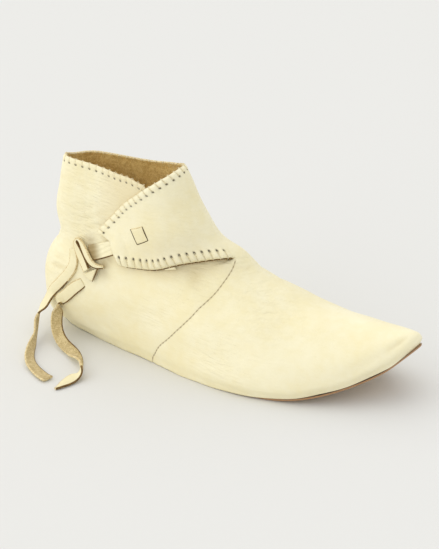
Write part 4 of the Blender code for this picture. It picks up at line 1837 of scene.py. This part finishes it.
TIE_STARTS = {
    "tie_end_back": (
        OnQuarter(49.0, 0.655, 5.5), OnQuarter(50.6, 0.577, 7.0), OnQuarter(50.0, 0.505, 7.8),
        OnQuarter(45.8, 0.440, 8.0), OnQuarter(38.8, 0.360, 8.0), OnQuarter(30.8, 0.277, 8.0),
    ),
    "tie_end_front": (
        OnQuarter(54.2, 0.418, 7.2), OnQuarter(51.2, 0.391, 8.4), OnQuarter(47.5, 0.357, 9.0),
        OnQuarter(40.8, 0.287, 9.0), OnQuarter(34.8, 0.230, 8.6),
    ),
}
TIE_FREE = {
    "tie_end_back": (
        Free(13.0, -35.3, 22.5, 8.0, -0.52, -0.86, 0.00),
        Free(10.8, -37.2, 19.0, 7.8, -0.68, -0.73, 0.00),
        Free(9.6, -39.2, 15.8, 7.4, -0.86, -0.52, 0.00),
        Free(9.3, -41.2, 12.8, 7.2, -0.97, -0.26, 0.00),
        Free(10.1, -43.7, 9.8, 7.2, -1.00, -0.10, 0.00),
        Free(12.2, -47.6, 7.0, 7.0, -0.99, -0.12, 0.00),
        Free(15.2, -53.2, 5.0, 6.6, -0.96, -0.24, -0.10),
        Free(18.8, -61.2, 4.3, 7.0, -0.84, -0.16, -0.50),
        Free(22.6, -69.9, 3.8, 7.4, -0.70, -0.12, -0.70),
        Free(26.9, -77.5, 3.2, 7.8, -0.52, -0.10, -0.85),
        Free(32.2, -83.8, 2.3, 8.0, -0.28, -0.05, -0.95),
        Free(38.9, -88.7, 1.7, 8.0, -0.10, 0.00, -1.00),
        Free(45.2, -92.3, 1.5, 8.2, 0.00, 0.00, -1.00),
        Free(50.3, -94.7, 1.5, 8.4, 0.00, 0.00, -1.00),
        Free(54.5, -95.9, 1.5, 8.6, 0.00, 0.00, -1.00),
    ),
    "tie_end_front": (
        Free(24.9, -35.6, 22.4, 8.4, -0.86, -0.40, -0.20),
        Free(24.6, -37.7, 18.6, 8.2, -0.62, 0.55, -0.55),
        Free(25.5, -40.2, 14.9, 8.4, -0.46, 0.74, -0.48),
        Free(26.9, -42.5, 11.2, 8.4, -0.44, 0.78, -0.45),
        Free(30.2, -46.1, 8.6, 8.4, -0.43, 0.78, -0.45),
        Free(34.9, -50.1, 6.6, 8.4, -0.43, 0.78, -0.45),
        Free(41.4, -54.4, 5.2, 8.4, -0.43, 0.78, -0.45),
        Free(48.8, -58.3, 4.6, 8.2, -0.48, 0.73, -0.48),
        Free(55.3, -62.2, 4.3, 7.6, -0.62, 0.55, -0.55),
        Free(61.2, -67.1, 4.3, 6.8, -0.80, 0.20, -0.50),
        Free(66.6, -73.2, 4.4, 6.4, -0.89, -0.36, -0.20),
        Free(70.0, -78.5, 4.3, 6.4, -0.86, -0.50, 0.05),
        Free(70.9, -82.4, 3.7, 7.4, -0.48, -0.46, 0.74),
        Free(69.9, -86.8, 2.8, 8.4, 0.02, -0.36, 0.93),
        Free(68.7, -91.8, 2.1, 8.2, 0.10, -0.30, 0.95),
        Free(67.6, -96.2, 1.7, 6.8, 0.05, -0.15, 0.98),
        Free(66.8, -100.5, 1.5, 4.4, 0.00, 0.00, 1.00),
        Free(65.9, -104.4, 1.3, 1.8, 0.00, 0.00, 1.00),
    ),
}
# Corners of the patches, as angles and levels
WINDOW_CORNERS = ((115.1, 0.815), (103.5, 0.783), (103.1, 0.846), (115.3, 0.868))
STRAP_END_CORNERS = ((121.0, 0.676), (112.5, 0.664), (112.5, 0.705), (122.0, 0.712))
TIP_CORNERS = ((61.0, 0.450), (59.6, 0.452), (56.6, 0.480), (66.9, 0.556))
# Middle line of the strap, as angles and levels
STRAP = ((88.0, 0.750), (83.6, 0.738), (75.5, 0.708), (62.8, 0.657))
# Height of the strap over its place at the same points, and its end widths, in millimetres
STRAP_LIFT = (0.4, 0.9, 1.3, -0.2)
STRAP_WIDTHS = (9.6, 11.6)
# Middle line of the knot's loop, as angles and levels
KNOT_LOOP = (
    (60.0, 0.516), (58.5, 0.562), (56.6, 0.608), (54.4, 0.653), (52.4, 0.693), (51.7, 0.719), (53.4, 0.738),
    (56.0, 0.732), (58.4, 0.705), (60.6, 0.665), (62.4, 0.625), (64.5, 0.585), (67.0, 0.571), (71.0, 0.578),
)
# Width of the loop's band and height of its underside at the same points, in millimetres
LOOP_BAND = (5.8, 6.0, 6.0, 5.8, 4.8, 3.4, 2.8, 3.4, 4.4, 5.0, 5.0, 4.6, 3.8, 2.4)
LOOP_LIFT = (1.8, 1.2, 0.7, 0.4, 0.3, 0.3, 0.4, 0.8, 1.3, 1.8, 2.2, 2.2, 1.6, 0.8)
# Painted-shade strip on the knot tip's front edge: angles and levels; lift and width in millimetres
TIP_EDGE = ((67.0, 0.555), (64.4, 0.505), (61.0, 0.450))
TIP_EDGE_LIFT = (2.0, 2.0, 1.8)
TIP_EDGE_WIDTHS = (1.1, 0.7)
# Painted-shade lines in the slits round the strap window: angles and levels, and widths in millimetres
SLITS = {
    "slit_back": ((103.0, 0.847), (103.3, 0.814), (103.4, 0.781)),
    "slit_front": ((115.4, 0.870), (115.3, 0.843), (115.1, 0.814)),
    "slit_low": ((103.4, 0.781), (109.2, 0.797), (115.1, 0.814)),
    "slit_top": ((103.3, 0.847), (109.2, 0.858), (115.2, 0.870)),
}
SLIT_WIDTHS = {"slit_back": 0.55, "slit_front": 0.85, "slit_low": 0.5, "slit_top": 0.3}
FAINT_SLIT = "slit_top"


@dataclass
class Fastening:
    """Strap, strap window, flat knot and the two tie ends."""
    finishes: Finishes
    # Strap and knot
    gap: float = 0.0003
    strap_thickness: float = 0.0016
    strap_points: int = 60
    shade_from: float = 0.70
    shade_over: float = 0.22
    loop_height: float = 0.0020
    loop_share: float = 0.8
    loop_points: int = 120
    tip_edge_thickness: float = 0.0006
    # Ties
    tie_thickness: float = 0.0016
    tie_clearance: float = 0.0004
    tie_points: int = 170
    tie_width: float = 0.008
    tie_cup: float = 0.00025
    tie_softness: float = 3.0
    tie_reach: int = 12
    front_dip: float = 0.0015
    # Share of the back tie before its forward edge takes the painted shade
    back_dark_from: float = 0.16
    cord_step: int = 5
    # Slits and other narrow strips
    slit_lift: float = 0.00005
    slit_thickness: float = 0.0004
    slit_taper: float = 0.25
    strip_points: int = 24

    @property
    def leathers(self) -> list[Material]:
        """Grain, nap, and the lighter cut edge and its darker copy painted as shade."""
        return [self.finishes.hide, self.finishes.nap, self.finishes.edge, self.finishes.thong_edge]

    def build_window(self, upper: Upper) -> Object:
        """The stretch of strap that shows between two slits in the flap.

        Args:
            upper: The leather that it lies on.

        Returns:
            The piece.
        """
        return Patch(
            "strap_window_leather", "strap_window", "upper_leather", WINDOW_CORNERS,
            lift=-0.7 * MM, crown=0.4 * MM, thickness=1.0 * MM, materials=self.leathers,
            ground=upper, ribs=2.0, rib_height=0.05 * MM,
        ).build()

    def build_slits(self, upper: Upper) -> list[Object]:
        """The slits round the window: narrow strips along its sides, dark as painted shade but for the top
        one.

        Args:
            upper: The leather that they lie on.

        Returns:
            The pieces.
        """
        pieces = []
        for name, marks in SLITS.items():
            height = upper.flap_height(*np.array(marks).T) + self.slit_lift
            path, normal = self.on_form(marks, height, self.strip_points)
            width = SLIT_WIDTHS[name] * MM * taper(self.strip_points, self.slit_taper)
            finish = self.finishes.edge if name == FAINT_SLIT else self.finishes.hole
            strip = narrow_strip(name, path, normal, width, self.slit_thickness, finish)
            pieces.append(strip)
        return pieces

    def on_form(self, marks: Places, lift: Array, count: int) -> tuple[Array, Array]:
        """A smooth route through places on the upper.

        Args:
            marks: Angles and levels.
            lift: Height over the form at each mark.
            count: How many points the route has.

        Returns:
            Points, and the directions that the upper faces there.
        """
        places = through_rows(np.column_stack([np.array(marks), lift]), np.linspace(0, 1, count))
        return FORM.lifted(*places.T), FORM.normal(places[:, 0], places[:, 1])

    def build_strap(self) -> Object:
        """The strap between flap and knot, with fine wrinkles along it.

        Returns:
            The piece.
        """
        middle = self.gap + self.strap_thickness / 2
        path, normal = self.on_form(STRAP, middle + np.array(STRAP_LIFT) * MM, self.strap_points)
        width = np.linspace(*STRAP_WIDTHS, self.strap_points) * MM
        thickness = np.full(self.strap_points, self.strap_thickness)
        share = np.linspace(0, 1, self.strap_points)
        # Painted shade darkens the strap's end towards the knot, and its lower edge takes the dark edge
        # finish
        shade = smoothstep((share - self.shade_from) / self.shade_over)
        strip = Thong(
            "strap_leather", path, normal, width, thickness, [self.finishes.strap, *self.leathers[1:]],
            face_steps=41, ripple=0.14 * MM, edge_slots=(0, 3), shade=shade,
        )
        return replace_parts(strip.build(), "strap")

    def build_strap_end(self) -> Object:
        """The strap's far end, which shows a little below the flap.

        Returns:
            The piece.
        """
        return Patch(
            "strap_end_leather", "", "thong_leather", STRAP_END_CORNERS,
            lift=0.2 * MM, crown=0.0, thickness=1.2 * MM, materials=self.leathers,
            ribs=1.0, rib_height=0.1 * MM, steps=16,
        ).build()

    def build_tip(self) -> Object:
        """The pointed end of the knot's tuck.

        Returns:
            The piece.
        """
        # Its rim takes the dark edge finish as painted shade
        return Patch(
            "knot_tip_leather", "knot_tip", "thong_leather", TIP_CORNERS,
            lift=1.0 * MM, crown=0.0, thickness=1.4 * MM, materials=self.leathers, rim_slot=3, steps=24,
        ).build()

    def build_tip_edge(self) -> Object:
        """A dark strip along the front of the pointed end: painted shade on its cut edge.

        Returns:
            The piece.
        """
        path, normal = self.on_form(TIP_EDGE, np.array(TIP_EDGE_LIFT) * MM, self.strip_points)
        width = np.linspace(*TIP_EDGE_WIDTHS, self.strip_points) * MM
        finish = self.finishes.thong_edge
        strip = narrow_strip("knot_tip_edge", path, normal, width, self.tip_edge_thickness, finish)
        return strip

    def build_loop(self) -> Object:
        """The knot's flattened loop: a band of hide folded back on itself on the quarter.

        Returns:
            The piece.
        """
        middle = np.array(LOOP_LIFT) * MM + self.loop_height / 2
        path, normal = self.on_form(KNOT_LOOP, middle, self.loop_points)
        band = through_rows(np.array(LOOP_BAND)[:, None], np.linspace(0, 1, self.loop_points))[:, 0] * MM
        height = np.minimum(self.loop_height, self.loop_share * band)
        # One edge of the band takes the dark edge finish as painted shade
        strip = Thong("knot_loop_leather", path, normal, band, height, self.leathers, edge_slots=(3, 2))
        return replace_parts(strip.build(), "knot_loop")

    def tie_route(self, node: str) -> Array:
        """Route of a tie end: place, width and facing at even steps, each a weighted mean of its
        neighbours so that turns and twists are smooth.

        Args:
            node: Name of the tie end's solid.

        Returns:
            Rows of seven numbers.
        """
        starts = np.array(TIE_STARTS[node])
        lift = np.full(len(starts), self.tie_clearance + self.tie_thickness / 2)
        if node == "tie_end_front":
            lift[0] -= self.front_dip
        places = FORM.lifted(starts[:, 0], starts[:, 1], lift)
        on_quarter = np.hstack([places, starts[:, 2:] * MM, FORM.normal(starts[:, 0], starts[:, 1])])
        free = np.array(TIE_FREE[node]) * np.array([MM] * 4 + [1.0] * 3)
        free[:, :3] -= FORM.origin
        fine = through_rows(np.vstack([on_quarter, free]), np.linspace(0, 1, 8 * self.tie_points))
        walked = run_along(fine[:, :3])
        even = np.linspace(0, walked[-1], self.tie_points)
        route = np.column_stack([np.interp(even, walked, column) for column in fine.T])
        weights = bell(np.arange(-self.tie_reach, self.tie_reach + 1) / self.tie_softness)
        inner = slice(self.tie_reach, -self.tie_reach)
        soft = [np.convolve(column, weights / weights.sum(), "valid") for column in route.T]
        route[inner] = np.column_stack(soft)
        return route

    def build_tie(self, node: str) -> Object:
        """A tie end: down the quarter from the knot, then free to the floor.

        Args:
            node: Name of its solid.

        Returns:
            The piece.
        """
        route = self.tie_route(node)
        path = route[:, :3]
        thickness = np.full(len(path), self.tie_thickness)
        strip = Thong(
            node + "_leather", path, route[:, 4:], route[:, 3], thickness, self.leathers,
            cup=self.tie_cup, dark_from=self.back_dark_from if node == "tie_end_back" else 0.0,
        )
        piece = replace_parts(strip.build(), node)
        return piece


@dataclass(frozen=True)
class Lamp:
    """A wide soft light: the way it shines, its strength and its spread in degrees."""
    direction: Triple
    strength: float
    spread: float
    colour: Colour = (1.0, 0.975, 0.915)

    def build(self, name: str) -> Object:
        """Adds the light to the scene.

        Args:
            name: Its name.

        Returns:
            The light.
        """
        data = bpy.data.lights.new(name, "SUN")
        data.energy = self.strength
        data.angle = math.radians(self.spread)
        data.color = self.colour
        lamp = bpy.data.objects.new(name, data)
        lamp.rotation_mode = "QUATERNION"
        lamp.rotation_quaternion = Vector(self.direction).to_track_quat("-Z", "Y")
        bpy.context.scene.collection.objects.link(lamp)
        return lamp


@dataclass
class Studio:
    """Pale floor, soft light and the camera."""
    floor_colour: Colour = srgb(227, 226, 222)
    floor_reach: float = 4.0
    floor_drop: float = 0.0002
    sky: float = 0.825
    sky_colour: Colour = (0.975, 0.99, 1.02)
    key: Lamp = Lamp((0.45, -0.25, -0.86), 0.84, 75.0)
    fill: Lamp = Lamp((0.64, 0.75, -0.14), 0.98, 80.0)
    target: Triple = (-0.00063, 0.00395, 0.050)
    azimuth: float = 29.0
    elevation: float = 26.5
    distance: float = 1.400
    focal_px: float = 2030.0
    image: tuple[int, int] = (439, 549)
    target_px: tuple[float, float] = (226.0, 287.5)
    sensor: float = 36.0
    clip: tuple[float, float] = (0.05, 50.0)

    def build_floor(self) -> Object:
        """A flat pale floor that fills the view.

        Returns:
            The floor.
        """
        graph = Graph("floor_paper")
        grain = graph.noise(graph.place(), 300.0, 2.0)
        tone = graph.mix(grain, self.floor_colour, tuple(c * 0.995 for c in self.floor_colour))
        material = graph.finish(tone, 1.0, Specular_IOR_Level=0.0)
        mesh = bpy.data.meshes.new("floor")
        corners = np.array([(-1, -1), (1, -1), (1, 1), (-1, 1)]) * self.floor_reach
        points = np.column_stack([corners, np.full(4, -self.floor_drop)])
        mesh.from_pydata(points.tolist(), [], [(0, 1, 2, 3)])
        mesh.materials.append(material)
        floor = bpy.data.objects.new("floor", mesh)
        bpy.context.scene.collection.objects.link(floor)
        return floor

    def build_light(self) -> None:
        """Even sky light, a wide key light from above and a wide, low fill light from the left."""
        world = bpy.data.worlds.new("studio")
        world.use_nodes = True
        background = world.node_tree.nodes["Background"]
        background.inputs["Color"].default_value = (*self.sky_colour, 1.0)
        background.inputs["Strength"].default_value = self.sky
        bpy.context.scene.world = world
        self.key.build("key_light")
        self.fill.build("fill_light")
        bpy.context.scene.view_settings.view_transform = "Standard"

    def build_camera(self) -> Object:
        """The camera at the photograph's angle, with the shift that its framing needs.

        Returns:
            The camera.
        """
        a, e = math.radians(self.azimuth), math.radians(self.elevation)
        back = Vector((math.sin(a) * math.cos(e), -math.cos(a) * math.cos(e), math.sin(e)))
        data = bpy.data.cameras.new("camera")
        width, height = self.image
        data.sensor_width = self.sensor
        data.lens = self.focal_px * self.sensor / height
        data.shift_x = (width / 2 - self.target_px[0]) / height
        data.shift_y = (self.target_px[1] - height / 2) / height
        data.clip_start, data.clip_end = self.clip
        camera = bpy.data.objects.new("camera", data)
        camera.rotation_mode = "QUATERNION"
        camera.location = Vector(self.target) + back * self.distance
        camera.rotation_quaternion = (-back).to_track_quat("-Z", "Y")
        bpy.context.scene.collection.objects.link(camera)
        bpy.context.scene.camera = camera
        return camera


def main() -> None:
    """Builds the studio and every piece of the shoe."""
    logging.basicConfig(level=logging.INFO, format="%(name)s: %(message)s")
    studio = Studio()
    studio.build_camera()
    studio.build_floor()
    studio.build_light()
    finishes = Finishes.make()
    fastening = Fastening(finishes)
    upper = Upper(finishes)
    loop, tip = fastening.build_loop(), fastening.build_tip()
    tip_edge = fastening.build_tip_edge()
    pieces = [
        loop,
        tip,
        tip_edge,
        fastening.build_tie("tie_end_back"),
        fastening.build_tie("tie_end_front"),
        fastening.build_strap(),
        fastening.build_strap_end(),
        fastening.build_window(upper),
        *fastening.build_slits(upper),
        upper.build(),
        upper.build_flap_shadow(),
        Sole(finishes).build(),
    ]
    for edge, name in ((upper.top_edge, "rim"), (upper.low_edge, "flap")):
        stitches = WhipStitches(upper, edge, name, finishes)
        pieces.append(stitches.build())
    for piece in pieces:
        LOG.info("%s: %d points", piece.name, len(piece.data.vertices))


if __name__ == "__main__":
    main()
